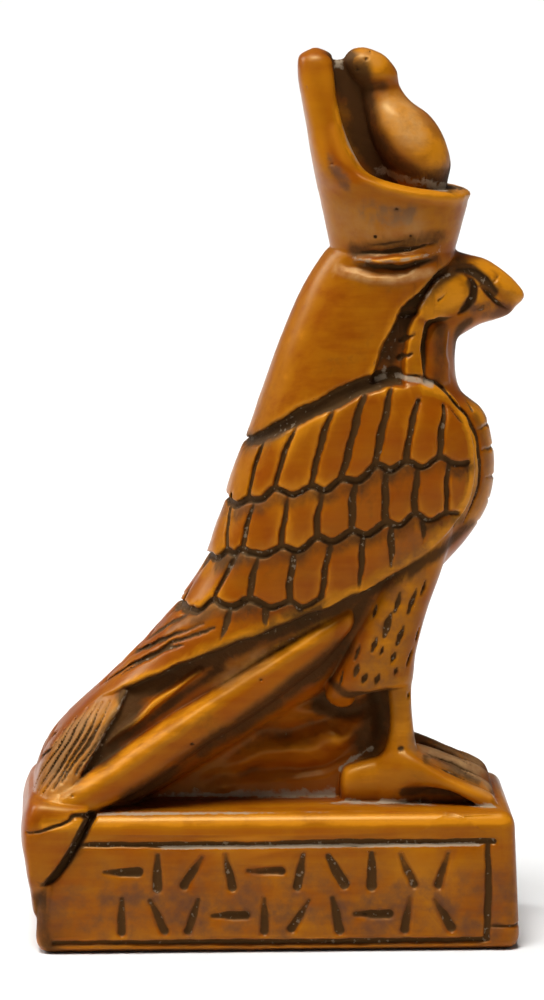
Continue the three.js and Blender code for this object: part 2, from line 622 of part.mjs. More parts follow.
function panelCuts() {
  const left = REAR + PANEL_START * UNIT;
  const right = PLINTH_LENGTH / 2 - FRAME_SIDE_INSET;
  const top = PLINTH_HEIGHT - FRAME_TOP_INSET;
  const bottom = FRAME_BOTTOM_INSET;
  const line = FRAME_LINE_WIDTH;
  const cuts = [
    bar(left, top - line, right, top),
    bar(right - line, bottom, right, top),
    bar(left, bottom, right, bottom + line),
  ];
  const rowHeight = (top - bottom - 2 * line) / STROKE_ROWS;
  const count = Math.floor((right - line - left) / STROKE_PITCH);
  for (let row = 0; row < STROKE_ROWS; row++) {
    for (let i = 0; i < count; i++) {
      const tilt = THREE.MathUtils.degToRad(STROKE_TILTS[(i + 3 * row) % STROKE_TILTS.length]);
      const long = (rowHeight * STROKE_FILL) / 2;
      const wide = STROKE_WIDTH / 2;
      const centre = new THREE.Vector2(
        left + (i + 0.5) * STROKE_PITCH,
        bottom + line + (row + 0.5) * rowHeight,
      );
      const corners = [[-wide, -long], [wide, -long], [wide / 2, long], [-wide / 2, long]];
      const outline = corners.map(([x, z]) => (
        new THREE.Vector2(x, z).rotateAround(new THREE.Vector2(), tilt).add(centre).toArray()
      ));
      cuts.push(faceCut(outline, STROKE_DEPTH));
    }
  }
  return join(cuts);
}

const uncut = join([
  trunkSolid(),
  headSolid(),
  crownSolid(),
  bothSides(legSolid()),
  outlineSolid(WEB, WEB_HALF_WIDTH),
  plinthSolid(),
  new RibForm(FLAP_RIBS).solid(BODY_FACETS),
]);
const figure = uncut.subtract(bothSides(join([featherCuts(), eyeCut(), panelCuts()])));

const resin = new THREE.MeshStandardMaterial({ color: 0xb06a12, roughness: 0.4, metalness: 0 });
const mesh = new THREE.Mesh(geometryOf(figure), resin);
mesh.name = 'falcon_figure';

const group = new THREE.Group();
group.add(mesh);

export default group;
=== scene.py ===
import math

import bpy
import numpy as np
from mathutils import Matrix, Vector


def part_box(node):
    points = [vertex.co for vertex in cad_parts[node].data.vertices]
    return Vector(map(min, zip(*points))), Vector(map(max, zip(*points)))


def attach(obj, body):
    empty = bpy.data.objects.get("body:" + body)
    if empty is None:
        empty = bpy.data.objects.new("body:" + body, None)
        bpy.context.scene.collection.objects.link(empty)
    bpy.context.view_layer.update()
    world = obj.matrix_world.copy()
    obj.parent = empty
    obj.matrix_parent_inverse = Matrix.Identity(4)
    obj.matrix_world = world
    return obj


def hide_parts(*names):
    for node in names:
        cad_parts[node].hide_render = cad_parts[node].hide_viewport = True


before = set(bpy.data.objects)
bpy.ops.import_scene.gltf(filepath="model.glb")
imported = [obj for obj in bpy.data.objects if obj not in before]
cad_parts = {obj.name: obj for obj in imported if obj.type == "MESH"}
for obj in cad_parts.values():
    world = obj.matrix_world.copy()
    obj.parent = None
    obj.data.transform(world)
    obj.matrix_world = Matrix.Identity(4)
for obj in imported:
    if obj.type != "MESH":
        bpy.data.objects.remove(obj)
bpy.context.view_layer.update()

# The mould
# Bird, crown and plinth are one resin casting. Its shape is kept here as a field of
# distances to the surface, negative inside, in hundredths of the bird's height: x from
# the plinth's rear end, z from its top, y out from the middle. Half of it is enough.
BIRD_SHARE = 93.2 / 110.8    # of the whole height, the rest is plinth
MM = 0.001

low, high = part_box("falcon_figure")
casting_height = (high[2] - low[2]) / MM
UNIT = casting_height * BIRD_SHARE / 100
plinth_height = casting_height * (1 - BIRD_SHARE)
DROP = plinth_height / UNIT
STEP = 0.2
FAR = 9.0    # stands for every distance too great to matter
REAR_END = -5.0
FRONT_END = 67.5
UPPER_END = 102.0
LOWER_END = -DROP - 1.5
SIDE_END = 15.0
xs = np.arange(REAR_END, FRONT_END, STEP)
zs = np.arange(LOWER_END, UPPER_END, STEP)
ys = (np.arange(int(SIDE_END / STEP)) + 0.5) * STEP
side_x, side_z = np.meshgrid(xs, zs, indexing="ij")
field = np.full((len(ys), len(xs), len(zs)), FAR, np.float32)
engraved = np.zeros_like(field)


def window(low_x, high_x, low_z, high_z, low_y=0.0, high_y=SIDE_END):
    """The part of the field between such limits."""
    spans = []
    for values, first, last in ((ys, low_y, high_y), (xs, low_x, high_x), (zs, low_z, high_z)):
        start = int(np.searchsorted(values, first))
        spans.append(slice(start, max(int(np.searchsorted(values, last)), start + 3)))
    return tuple(spans)


def smooth_min(a, b, radius):
    blend = np.clip(0.5 + 0.5 * (b - a) / radius, 0, 1)
    return b + (a - b) * blend - radius * blend * (1 - blend)


def smooth_max(a, b, radius):
    return -smooth_min(-a, -b, radius)


def ease(value):
    value = np.clip(value, 0, 1)
    return value * value * (3 - 2 * value)


def join(place, distance, radius=0.5, grooves=None):
    """Fuses a form with the casting, and keeps how deep its grooves are."""
    if grooves is not None:
        nearer = distance < field[place] + radius
        engraved[place] = np.where(nearer, np.maximum(grooves, engraved[place]), engraved[place])
    field[place] = smooth_min(field[place], distance, radius)


def curve(rows, at):
    """A smooth line through rows of numbers, at places from 0 to 1."""
    rows = np.asarray(rows, float)
    spot = np.asarray(at) * (len(rows) - 1)
    first = np.minimum(spot.astype(int), len(rows) - 2)
    part = (spot - first)[:, None]
    before = rows[np.maximum(first - 1, 0)]
    start = rows[first]
    end = rows[first + 1]
    after = rows[np.minimum(first + 2, len(rows) - 1)]
    lean_in = (end - before) / 2
    lean_out = (after - start) / 2
    return ((2 * start - 2 * end + lean_in + lean_out) * part ** 3
            + (-3 * start + 3 * end - 2 * lean_in - lean_out) * part ** 2
            + lean_in * part + start)


def smooth(points, per_span=5):
    return curve(points, np.linspace(0, 1, (len(points) - 1) * per_span + 1))


def sample(grid, spots):
    """Values between the points of a grid of any number of axes, at fractional indices."""
    cells = [np.clip(spot.astype(np.int32), 0, size - 2) for spot, size in zip(spots, grid.shape)]
    parts = [np.clip(spot - cell, 0, 1) for spot, cell in zip(spots, cells)]
    total = 0.0
    for corner in np.ndindex(*(2,) * grid.ndim):
        weight = 1.0
        for axis, end in enumerate(corner):
            weight = weight * (parts[axis] if end else 1 - parts[axis])
        index = tuple(cell + end for cell, end in zip(cells, corner))
        total = total + weight * grid[index]
    return total


WOBBLE = 0.07


def wobble(x, z):
    """A slow waver, for how far a hand-cut line strays from its drawn course."""
    return np.sin(0.9 * x + 0.5 * z) + np.sin(1.7 * z - 0.8 * x + 2) + 0.35 * np.sin(4.1 * x + 3.3 * z)


class Form:
    """A row of ribs [x, z, x, z, half width, power, middle], seen from the side.

    Each rib runs from its first point to its second and bulges to both sides as a
    superellipse of that power, about a middle that may lie off the casting's.
    """

    OUTSIDE = 3.0
    MARGIN = 3.0
    NEAR = 3.5    # the carving reaches so far from the surface
    THINNEST = 0.5

    def __init__(self, ribs, fine=10):
        ribs = np.array([list(rib) + [0.0] * (7 - len(rib)) for rib in ribs], float)
        rows = smooth(ribs, fine)
        starts, ends = rows[:, 0:2], rows[:, 2:4]
        widest, middles = rows[:, 4].max(), np.abs(rows[:, 6])
        corners = np.concatenate([starts, ends])
        low_x, low_z = corners.min(0) - self.MARGIN
        high_x, high_z = corners.max(0) + self.MARGIN
        reach = widest + self.MARGIN
        self.place = window(low_x, high_x, low_z, high_z,
                            middles.min() - reach, middles.max() + reach)
        self.x = side_x[self.place[1:]]
        self.z = side_z[self.place[1:]]
        self.across = np.full(self.x.shape, self.OUTSIDE)
        self.rest = np.ones(self.x.shape + (3,)) * rows[0, 4:7]
        self.lean = np.zeros(self.x.shape + (2,))
        lines = [self.beyond(a, b, (self.x, self.z)) for a, b in zip(starts, ends)]
        centres = (starts + ends) / 2
        turns = [np.sign(self.beyond(starts[i], ends[i], centres[i + 1]))
                 for i in range(len(rows) - 1)]
        lines = [line * turn for line, turn in zip(lines, turns + turns[-1:])]
        for i in range(len(rows) - 1):
            between = (lines[i] >= 0) & (lines[i + 1] < 0)
            part = lines[i] / np.maximum(lines[i] - lines[i + 1], 1e-6)
            self.settle(between, rows[i], rows[i + 1], part)
        nowhere = np.zeros_like(self.x)
        self.settle((lines[0] < 0) & (lines[0] > -self.MARGIN), rows[0], rows[0], nowhere)
        self.settle((lines[-1] >= 0) & (lines[-1] < self.MARGIN), rows[-1], rows[-1], nowhere)
        self.past = np.maximum(-lines[0], lines[-1]).astype(np.float32)

    @staticmethod
    def beyond(a, b, point):
        run = b - a
        return (run[0] * (point[1] - a[1]) - run[1] * (point[0] - a[0])) / np.hypot(*run)

    def settle(self, where, row, following, part):
        """Gives the places between two ribs their share of both."""
        mixed = row + (following - row) * part[where][:, None]
        run = mixed[:, 2:4] - mixed[:, 0:2]
        length = np.hypot(run[:, 0], run[:, 1])
        offset = np.stack([self.x[where], self.z[where]], 1) - mixed[:, 0:2]
        across = 2 * (offset * run).sum(1) / length ** 2 - 1
        closer = np.abs(across) < np.abs(self.across[where])
        spot = tuple(index[closer] for index in np.nonzero(where))
        self.across[spot] = across[closer]
        self.rest[spot] = mixed[closer, 4:7]
        self.lean[spot] = (run / length[:, None])[closer]

    def bend(self, across):
        return np.sign(across) * np.minimum(np.abs(across), 1) ** 3

    def unroll(self, points):
        """Where places seen from the side lie on the form's unrolled side."""
        points = np.asarray(points, float)
        spots = [(points[:, 0] - self.x[0, 0]) / STEP, (points[:, 1] - self.z[0, 0]) / STEP]
        across = np.clip(sample(self.across, spots), -1, 1)
        wide, power = (sample(self.rest[..., i], spots) for i in (0, 1))
        lean = np.stack([sample(self.lean[..., i], spots) for i in (0, 1)], 1)
        height = (1 - np.abs(across) ** power) ** (1 / power)
        return points + lean * (self.bend(across) * wide * (1 - height))[:, None]

    def distance(self, relief=None, end_radius=1.0):
        """The distance to the form's surface, and how deep its grooves are there."""
        wide, power, middle = (self.rest[..., i] for i in range(3))
        first = np.abs(self.across) ** power
        rows = ys[self.place[0]]
        level = np.empty((len(rows),) + self.x.shape, np.float32)
        for i, y in enumerate(rows):
            out = np.abs(y - np.abs(middle)) / wide
            level[i] = (first + out ** power) ** (1 / power) - 1
        slopes = np.gradient(level, STEP)
        slope = np.maximum(np.sqrt(sum(part * part for part in slopes)), 1e-3)
        level /= slope
        grooves = np.zeros_like(level)
        if relief is not None:
            bend = self.bend(self.across)
            for i, y in enumerate(rows):
                spot = np.abs(level[i]) < self.NEAR
                out = np.abs(y - np.abs(middle[spot]))
                roll = bend[spot] * np.maximum(wide[spot] - out, 0)
                layer, groove = relief.at(self.x[spot] + self.lean[spot, 0] * roll,
                                          self.z[spot] + self.lean[spot, 1] * roll)
                thin = np.maximum(wide[spot] - layer, self.THINNEST)
                carved = (first[spot] + (out / thin) ** power[spot]) ** (1 / power[spot]) - 1
                level[i][spot] = carved / slope[i][spot] + groove
                grooves[i][spot] = groove
        return smooth_max(level, self.past[None], end_radius), grooves


FLAT_SHARE = 0.4    # how much of a groove's width is its flat bottom


class Relief:
    """A map of a form's carving, drawn on its unrolled side.

    layer is how much narrower the form is at a place, for broad steps, and groove is
    how far a cut goes straight in.
    """

    CELL = 0.12

    def __init__(self, form, stray=WOBBLE):
        self.form = form
        self.stray = stray
        reach = form.rest[..., 0].max()
        self.low = np.array([form.x.min() - reach, form.z.min() - reach])
        across = np.arange(self.low[0], form.x.max() + reach, self.CELL)
        up = np.arange(self.low[1], form.z.max() + reach, self.CELL)
        self.x, self.z = np.meshgrid(across, up, indexing="ij")
        self.layer = np.zeros(self.x.shape, np.float32)
        self.groove = np.zeros_like(self.layer)

    def at(self, x, z):
        shift_x, shift_z = self.stray * wobble(x, z), self.stray * wobble(z + 31.0, x)
        spots = [(x + shift_x - self.low[0]) / self.CELL, (z + shift_z - self.low[1]) / self.CELL]
        return sample(self.layer, spots), sample(self.groove, spots)

    def measure(self, path, reach):
        """The distance to a path up to reach, and the share of the path passed there."""
        gap = np.full(self.x.shape, reach, np.float32)
        share = np.zeros_like(gap)
        lengths = np.maximum(np.hypot(*np.diff(path, axis=0).T), 1e-6)
        passed = np.concatenate([[0], np.cumsum(lengths)])
        for i, length in enumerate(lengths):
            a, b = path[i], path[i + 1]
            first = ((np.minimum(a, b) - reach - self.low) / self.CELL).astype(int)
            last = ((np.maximum(a, b) + reach - self.low) / self.CELL).astype(int) + 2
            patch = tuple(slice(max(lo, 0), max(hi, 0)) for lo, hi in zip(first, last))
            run = (b - a) / length
            off_x = self.x[patch] - a[0]
            off_z = self.z[patch] - a[1]
            along = np.clip(off_x * run[0] + off_z * run[1], 0, length)
            miss = np.hypot(off_x - along * run[0], off_z - along * run[1])
            closer = miss < gap[patch]
            gap[patch][closer] = miss[closer]
            share[patch][closer] = passed[i] + along[closer]
        return gap, share / passed[-1]

    def draw(self, points):
        points = self.form.unroll(points)
        return smooth(points) if len(points) > 2 else points

    def cut(self, points, width, depth, sizes=(0.4, 1, 1, 0.4)):
        """A groove with a round bottom along a line seen from the side."""
        path = self.draw(points)
        gap, share = self.measure(path, width)
        size = np.interp(share, np.linspace(0, 1, len(sizes)), sizes)
        across = np.clip(2 * gap / (width * np.maximum(size, 0.2)), 0, 1)
        self.groove = np.maximum(self.groove, depth * size * ease((1 - across) / (1 - FLAT_SHARE)))
        return gap

    def ridge(self, points, width, height, sizes=(0.4, 1, 1, 0.4)):
        """A rounded rib along a line seen from the side, or a broad hollow if below 0."""
        gap, share = self.measure(self.draw(points), width)
        size = np.interp(share, np.linspace(0, 1, len(sizes)), sizes)
        self.layer -= height * size * ease(1 - 2 * gap / width)

    def pits(self, spots, width=0.5, depth=0.35):
        for x, z in spots:
            self.cut([[x - 0.05, z], [x + 0.05, z]], width, depth, sizes=(1, 1))

    def edge_distance(self, outline, reach):
        """The distance to a closed outline seen from the side, negative inside it."""
        path = self.form.unroll(outline)
        path = np.concatenate([path, path[:1]])
        gap, _ = self.measure(path, reach)
        inside = np.zeros(self.x.shape, bool)
        for (x0, z0), (x1, z1) in zip(path[:-1], path[1:]):
            if z0 == z1:
                continue
            passes = (z0 > self.z) != (z1 > self.z)
            inside ^= passes & (self.x < (x1 - x0) * (self.z - z0) / (z1 - z0) + x0)
        return np.where(inside, -gap, gap)

    def plate(self, outline, layer, ramp):
        """Inside the outline the form is layer narrower, with a soft step at its edge."""
        edge = self.edge_distance(outline, 2 * ramp)
        outside = ease(edge / ramp + 0.5)
        self.layer = layer + (self.layer - layer) * outside
        return edge


def cast(form, relief=None, radius=0.5, **ends):
    """Fuses a form with the casting, carved as its relief says."""
    distance, grooves = form.distance(relief, **ends)
    join(form.place, distance, radius, grooves)


# Hood, body and folded wings
# The trunk runs from the crown's foot down to the tail's end. Hood and wings stand off the
# body like a cloak. Between them lie the face, the lappet and the throat, and behind them
# the tail's fan, as plates of other thickness.
TRUNK_RIBS = [
    [38.9, 73.8, 55.3, 73.8, 6.5, 2.3],
    [36.4, 70.2, 55.9, 69.8, 6.9, 2.4],
    [33.9, 65.2, 55.9, 63.8, 7.6, 2.5],
    [31.9, 60.2, 55.4, 58.8, 8.4, 2.5],
    [29.7, 53.9, 56.2, 54.6, 9.4, 2.5],
    [28.7, 50.9, 59.0, 51.9, 9.8, 2.5],
    [27.6, 47.9, 60.1, 49.2, 10.1, 2.5],
    [25.7, 42.8, 60.8, 44.7, 10.4, 2.5],
    [23.9, 37.1, 59.9, 39.3, 10.4, 2.5],
    [22.2, 32.1, 57.0, 34.6, 10.3, 2.6],
    [20.1, 28.0, 53.2, 30.2, 10.1, 2.6],
    [16.8, 24.0, 48.2, 23.1, 10.0, 2.7],
    [12.8, 19.3, 39.6, 15.3, 9.9, 2.8],
    [8.2, 14.7, 28.8, 8.8, 10.2, 2.9],
    [3.4, 10.2, 18.1, 2.4, 10.9, 3.1],
    [0.6, 6.0, 10.0, -2.1, 11.6, 3.3],
    [-1.0, 0.5, 4.0, -4.5, 12.0, 3.5],
]
HOOD_FRONT = [
    [55.6, 73], [52.6, 70.4], [50.2, 68.2], [47.9, 65.8], [46.4, 63.1], [45.2, 60.3],
    [44, 56.8],
]
WING_FRONT = [
    [47.2, 56.4], [51.4, 56.3], [54.7, 54.7], [56.9, 51.4], [57.9, 46.7], [57.6, 42.1],
    [55.6, 38.1], [51.5, 34.2], [46.9, 31.2], [41, 28.2], [35.2, 25.9], [29.8, 23.6],
]
WING_FOOT = [[24.5, 21.6], [19, 19.4], [13.7, 17], [8.4, 14.3], [3, 9.8], [-3, 5]]
BACK_OUTSIDE = [[-6, 10], [20, 60], [34, 76]]
FACE = [
    [50.3, 65.2], [50.3, 66.3], [51.4, 68], [52.8, 69.6], [54.4, 70.4], [56.2, 70.2],
    [57.2, 69.2], [57.2, 67.6], [56.6, 66], [55.2, 64.8], [53.4, 64.7], [51.6, 64.5],
]
FACE_CRESCENT = [[55.6, 65.4], [56.9, 66.4], [57.6, 67.8], [57.4, 69.2], [56.4, 70.3]]
LAPPET = [
    [50.6, 66], [49.3, 64.2], [48.6, 61.5], [48.3, 58.8], [48.4, 56.4], [51, 56.4],
    [51, 59], [51, 62], [51.6, 64.8],
]
LAPPET_NOTCHES = [
    [[48.2, 65.2], [50.4, 65.6]], [[47.9, 62], [49.9, 62.9]], [[47.8, 59.6], [49.6, 60.5]],
]
THROAT = [
    [51.6, 56], [51.7, 60], [52.2, 62.6], [53.4, 63.9], [54.4, 63.6], [54.5, 60.5],
    [54.8, 56],
]
FAN = [
    [9, 17], [11.6, 15.6], [10.4, 13.2], [8, 8.9], [5.6, 4.4], [4, 0],
    [-1, -3], [-4, 3], [-3, 9],
]
WING_GROOVE = [
    [47.6, 57.6], [50, 57.4], [52.3, 56.4], [53.9, 55.3], [56.8, 52], [58.4, 49],
    [58.8, 46.2], [58.9, 43], [58, 40.3], [56.7, 37.5],
]
BREAST_DASHES = [
    [[57, 53.4], [57.9, 52.2]], [[57.9, 49.7], [60.9, 50.3]], [[58.4, 47.3], [61.2, 46.9]],
    [[59.6, 43.4], [61.2, 43.2]], [[59.9, 40.6], [60.6, 39.4]], [[58.6, 37.4], [60, 36.8]],
]
CLOAK_DEPTH = 2.0
EDGE_RAMP = 0.7
RECESS_DEPTH = 2.7    # the body lies deeper beside the tail, from RECESS_TOP down
RECESS_TOP = 26
RECESS_RAMP = 8
FAN_SWELL = 1.9    # the fan's lower end thickens until it runs into the bar
SWELL_TOP = 6.5
SWELL_RAMP = 5

trunk = Form(TRUNK_RIBS)
cloak = Relief(trunk)
deeper = ease((RECESS_TOP - cloak.z) / RECESS_RAMP)
cloak.layer[:] = CLOAK_DEPTH + (RECESS_DEPTH - CLOAK_DEPTH) * deeper
cloak.plate(smooth(THROAT), 1.5, 0.6)
cloak.plate(smooth(LAPPET), 0.6, 0.7)
face_edge = cloak.plate(smooth(FACE), 0.35, 0.6)
fan_edge = cloak.plate(FAN, 1.3, 0.5)
cloak.layer -= FAN_SWELL * ease((SWELL_TOP - cloak.z) / SWELL_RAMP) * ease(-fan_edge / 2)
cloak_outline = [
    [[56.2, 76]], smooth(HOOD_FRONT), smooth(WING_FRONT), smooth(WING_FOOT), BACK_OUTSIDE,
]
cloak.plate(np.concatenate(cloak_outline), 0.0, EDGE_RAMP)
for notch in LAPPET_NOTCHES:
    cloak.cut(notch, 0.8, 0.6, sizes=(1, 0.9, 0.4))
cloak.cut([[52.9, 67.3], [53.5, 67.5], [54.1, 68]], 0.7, 0.35, sizes=(1, 0.6))
cloak.cut([[51.1, 56.7], [51.2, 60], [51.3, 62.2], [51.8, 63.8], [53.3, 64.6], [55.2, 64.9]],
          1.0, 0.7)
cloak.cut(FACE_CRESCENT, 1.5, 0.8)
cloak.cut([[57.2, 64.6], [55.9, 63.4], [55.6, 61.3], [55.5, 59]], 0.8, 0.4)
cloak.ridge([[54.9, 64.1], [54.3, 61.7], [54.3, 59.2], [55.1, 57]], 1.3, 0.5)
cloak.cut([[43.6, 72.1], [45.6, 71.8], [48, 71.7], [50.4, 72.2], [52.6, 72.8]], 0.8, 0.45)
cloak.ridge([[40.6, 72], [44.5, 71.6], [48, 71.5], [52, 72.2]], 2.0, -0.5)
cloak.ridge([[39.8, 71.2], [43, 70.4], [47, 70.1], [51, 70.7]], 1.8, 0.4)
cloak.ridge([[41.8, 72.8], [44.5, 72.7], [48, 72.8], [51, 73.3]], 1.2, 0.9)
cloak.cut(WING_GROOVE, 1.1, 0.6)
cloak.cut([[54, 53.5], [55.8, 51.6], [56.5, 50.9]], 0.5, 0.3)
for dash in BREAST_DASHES:
    cloak.cut(dash, 0.9, 0.35, sizes=(0.4, 1))
cloak.ridge([[21.3, 18.1], [17.8, 15.8], [14.2, 12.9], [10.9, 10.4], [9, 8.8]], 1.5, 1.1)

# Feathers
# Three rows of covert feathers end in scallops, and long flight feathers fan out below
# them down the back. The lines are broad round-bottomed grooves cut with one tool.
VALLEY = [
    [22, 46.5], [27.7, 47.9], [30, 49.4], [34.4, 52.2], [39.1, 54.6], [43.2, 56.5],
    [47, 57.4],
]
FEATHER_ROWS = [
    {
        "quills": [
            [29.8, 48.9, 27.8, 41.2], [34.0, 51.1, 31.2, 42.9], [38.9, 53.8, 35.9, 43.3],
            [43.0, 55.2, 40.0, 44.2], [46.6, 56.2, 44.5, 46.1], [50.1, 54.4, 48.3, 46.5],
            [53.5, 53.4, 53.1, 47.0],
        ],
        "foot": [[16, 37.5], [20.5, 39.3], [24.3, 40.4]],
        "front": [[55.2, 45.9], [57, 46]],
    },
    {
        "quills": [
            [25.6, 41.0, 25.0, 34.2], [28.4, 40.4, 27.0, 34.6], [33.0, 41.4, 32.1, 35.2],
            [37.4, 42.6, 36.8, 36.5], [41.8, 43.8, 41.4, 37.4], [45.9, 45.2, 45.8, 38.4],
            [50.0, 45.4, 49.7, 39.6], [54.2, 46.0, 54.0, 39.6],
        ],
        "foot": [[14, 30.4], [18.5, 31.6], [22.6, 32.8]],
        "front": [[55.8, 39.1]],
    },
    {
        "quills": [
            [23.0, 32.9, 19.0, 26.2], [26.6, 34.2, 23.2, 27.8], [28.9, 33.4, 28.0, 28.2],
            [33.9, 34.5, 33.2, 28.0], [38.7, 35.8, 37.4, 28.6],
        ],
        "foot": [[10, 23.6], [14.5, 25]],
        "front": [],
    },
]
LOOSE_QUILLS = [
    [42.8, 36.6, 42.4, 29.5], [46.5, 37.9, 46.7, 32.3], [50.9, 38.4, 50.9, 35.5],
    [25.5, 27.0, 24.2, 22.7], [30.0, 27.4, 30.2, 24.6], [34.5, 27.4, 35.1, 26.2],
]
QUILL_WIDTH = 1.3
QUILL_DEPTH = 0.62
QUILL_BOW = 0.15
SCALLOP_SAG = 0.9
BROAD_FEATHER = 4.0    # a narrower one sags less
SHINGLE = 0.3    # how far a feather's foot stands off the row below
SHINGLE_EDGE = 0.4
SHINGLE_LENGTH = 5.0
PRIMARIES = [
    [[22.7, 26.7], [18.5, 24.7], [16.2, 22.9], [13.6, 20.6]],
    [[22, 24.7], [19, 23.4], [16.4, 22], [14, 20.4], [11.9, 18.4], [9.6, 16.4]],
    [[23.4, 24.3], [20.1, 23], [17.8, 22], [15.7, 20.5], [12.8, 18.7], [10.9, 17.2],
     [7.8, 14.4]],
    [[19.2, 21.9], [16.6, 20.9], [14.3, 19.5], [11, 17]],
]
FAN_LINES = [
    [[9.5, 14.1], [7.8, 11.1], [5.4, 7.4], [3, 4]],
    [[8.5, 13.9], [6.4, 10.2], [4.2, 6.8], [2, 3.2]],
    [[7.6, 13.4], [5.2, 9.7], [3.2, 6.6], [0.7, 2.4]],
    [[6.4, 12.6], [4.1, 9.3], [2.1, 6.4], [0, 2.3]],
    [[5.2, 11.7], [2.9, 8.5], [1, 5.8], [-0.6, 1.8]],
    [[4, 10.6], [1.6, 7.4], [-0.3, 4.4], [-1.3, 1.4]],
    [[10.4, 13.8], [9, 11.4], [6.9, 7.9], [5, 5]],
    [[2.6, 9.2], [0.6, 6.4], [-0.9, 3.6]],
]


def scallops(feet):
    """A line through the feathers' feet that sags between each foot and the next."""
    line = [feet[0]]
    for (x0, z0), (x1, z1) in zip(feet[:-1], feet[1:]):
        sag = SCALLOP_SAG * min(1.0, math.hypot(x1 - x0, z1 - z0) / BROAD_FEATHER)
        line += [[(x0 + x1) / 2, (z0 + z1) / 2 - sag], [x1, z1]]
    return line


seams = []
cloak.cut(VALLEY, 2.8, 1.0, sizes=(0.55, 0.55, 0.7, 0.9, 1.05, 1.05, 1.0))
for row in FEATHER_ROWS:
    for x0, z0, x1, z1 in row["quills"]:
        bow = [(x0 + x1) / 2 - QUILL_BOW, (z0 + z1) / 2]
        cloak.cut([[x0, z0], bow, [x1, z1]], QUILL_WIDTH, QUILL_DEPTH, sizes=(0.8, 1, 1, 0.95))
    feet = row["foot"] + [quill[2:] for quill in row["quills"]]
    line = scallops(feet) + row["front"]
    seams.append(line)
    cloak.cut(line, QUILL_WIDTH, QUILL_DEPTH, sizes=(1, 1, 1, 1, 0.7))
    seam = cloak.draw(line)
    under = np.interp(cloak.x, seam[:, 0], seam[:, 1]) - cloak.z
    inner = (cloak.x > seam[0, 0]) & (cloak.x < seam[-1, 0])
    cloak.groove += SHINGLE * inner * ease(under / SHINGLE_EDGE) * ease(1 - under / SHINGLE_LENGTH)
for x0, z0, x1, z1 in LOOSE_QUILLS:
    cloak.cut([[x0, z0], [x1, z1]], QUILL_WIDTH, QUILL_DEPTH, sizes=(0.9, 1, 0.8, 0.3))
for line in PRIMARIES:
    cloak.cut(line, 0.9, 0.5, sizes=(0.6, 1, 1, 0.8, 0.5))
for line in FAN_LINES:
    cloak.cut(line, 0.55, 0.4, sizes=(0.6, 1, 1, 0.8))
cloak.groove[face_edge < -0.4] *= 0.8    # the face's cuts are shallower
cast(trunk, cloak)

# Tail
# The tail is a thick board under the wings' tips that carries the fan and slants down
# over the plinth's rear edge. Its rounded side shows as a long bar.
TAIL_HALF_WIDTH = 12.2
TAIL_RIBS = [
    [41.5, 27.4, 42.0, 23.6, 8.4, 3.0],
    [36.0, 24.6, 38.4, 19.2, 9.2, 3.0],
    [30.5, 21.0, 33.4, 15.2, 9.7, 3.0],
    [25.0, 17.3, 28.1, 11.3, 10.1, 3.0],
    [19.3, 14.0, 22.8, 7.9, 10.5, 3.0],
    [14.0, 10.6, 17.5, 4.3, 11.0, 3.0],
    [9.1, 7.3, 12.3, 1.2, 11.5, 3.0],
    [4.4, 4.4, 7.4, -0.8, 12.0, 3.2],
    [0.2, 2.2, 3.4, -1.6, TAIL_HALF_WIDTH, 3.5],
    [-1.4, 0.9, 0.6, -1.8, TAIL_HALF_WIDTH - 0.5, 3.5],
]
END_CUTS = [0.4, 1.6, 2.8]

tail = Form(TAIL_RIBS)
bar = Relief(tail)
bar.ridge([[38, 24.2], [31, 19.8], [24, 15.4], [16.5, 10.2], [9, 5.2]], 3.4, 0.5)
for x in END_CUTS:
    bar.cut([[x + 0.9, 4.4], [x + 0.1, 2.8], [x - 0.7, 1.4]], 0.5, 0.3, sizes=(1, 1, 0.4))
bar.pits([[4.6, 2.6], [20.4, 9], [29.5, 17.6]])
cast(tail, bar, radius=0.3)

# Head and beak
# A short deep head with a hooked beak grows out of the hood. The brow, a broad band before
# the beak, a nostril and the mouth are cut into it.
HEAD_RIBS = [
    [52.0, 73.4, 52.0, 60.5, 4.4, 2.3],
    [54.8, 73.2, 54.8, 61.2, 4.5, 2.3],
    [57.0, 72.6, 56.9, 62.4, 4.1, 2.2],
    [59.3, 72.0, 58.7, 63.4, 3.5, 2.2],
    [61.2, 70.9, 60.6, 64.0, 2.8, 2.1],
    [62.9, 69.5, 62.4, 64.7, 2.0, 2.1],
    [64.0, 68.2, 63.5, 65.8, 1.2, 2.0],
    [64.6, 67.3, 64.4, 66.5, 0.5, 2.0],
]
BROW = [[54.6, 71.5], [56.6, 71.6], [58.6, 71]]
CHEEK_BAND = [[55.6, 71], [57.6, 70.6], [59.3, 69.3], [60.6, 68]]
NOSTRIL = [[59.8, 69.2], [60.6, 69.4], [61.1, 70.2]]
MOUTH = [[58.4, 68.8], [59.7, 67.4], [60.7, 66.5], [62.2, 65.5]]
BEAK_SIDE = [[59.6, 70.4], [61.4, 69], [63.2, 67.4]]

head = Form(HEAD_RIBS, fine=12)
face = Relief(head)
face.cut(FACE_CRESCENT, 1.5, 0.8)
face.cut(BROW, 0.9, 0.3)
face.cut(CHEEK_BAND, 2.2, 0.7, sizes=(0.6, 1, 0.9, 0.4))
face.cut(NOSTRIL, 0.7, 0.25)
face.cut(MOUTH, 1.0, 0.55, sizes=(0.6, 1, 1, 0.5))
face.ridge(BEAK_SIDE, 2.6, 0.35)
cast(head, face, radius=0.6, end_radius=0.4)

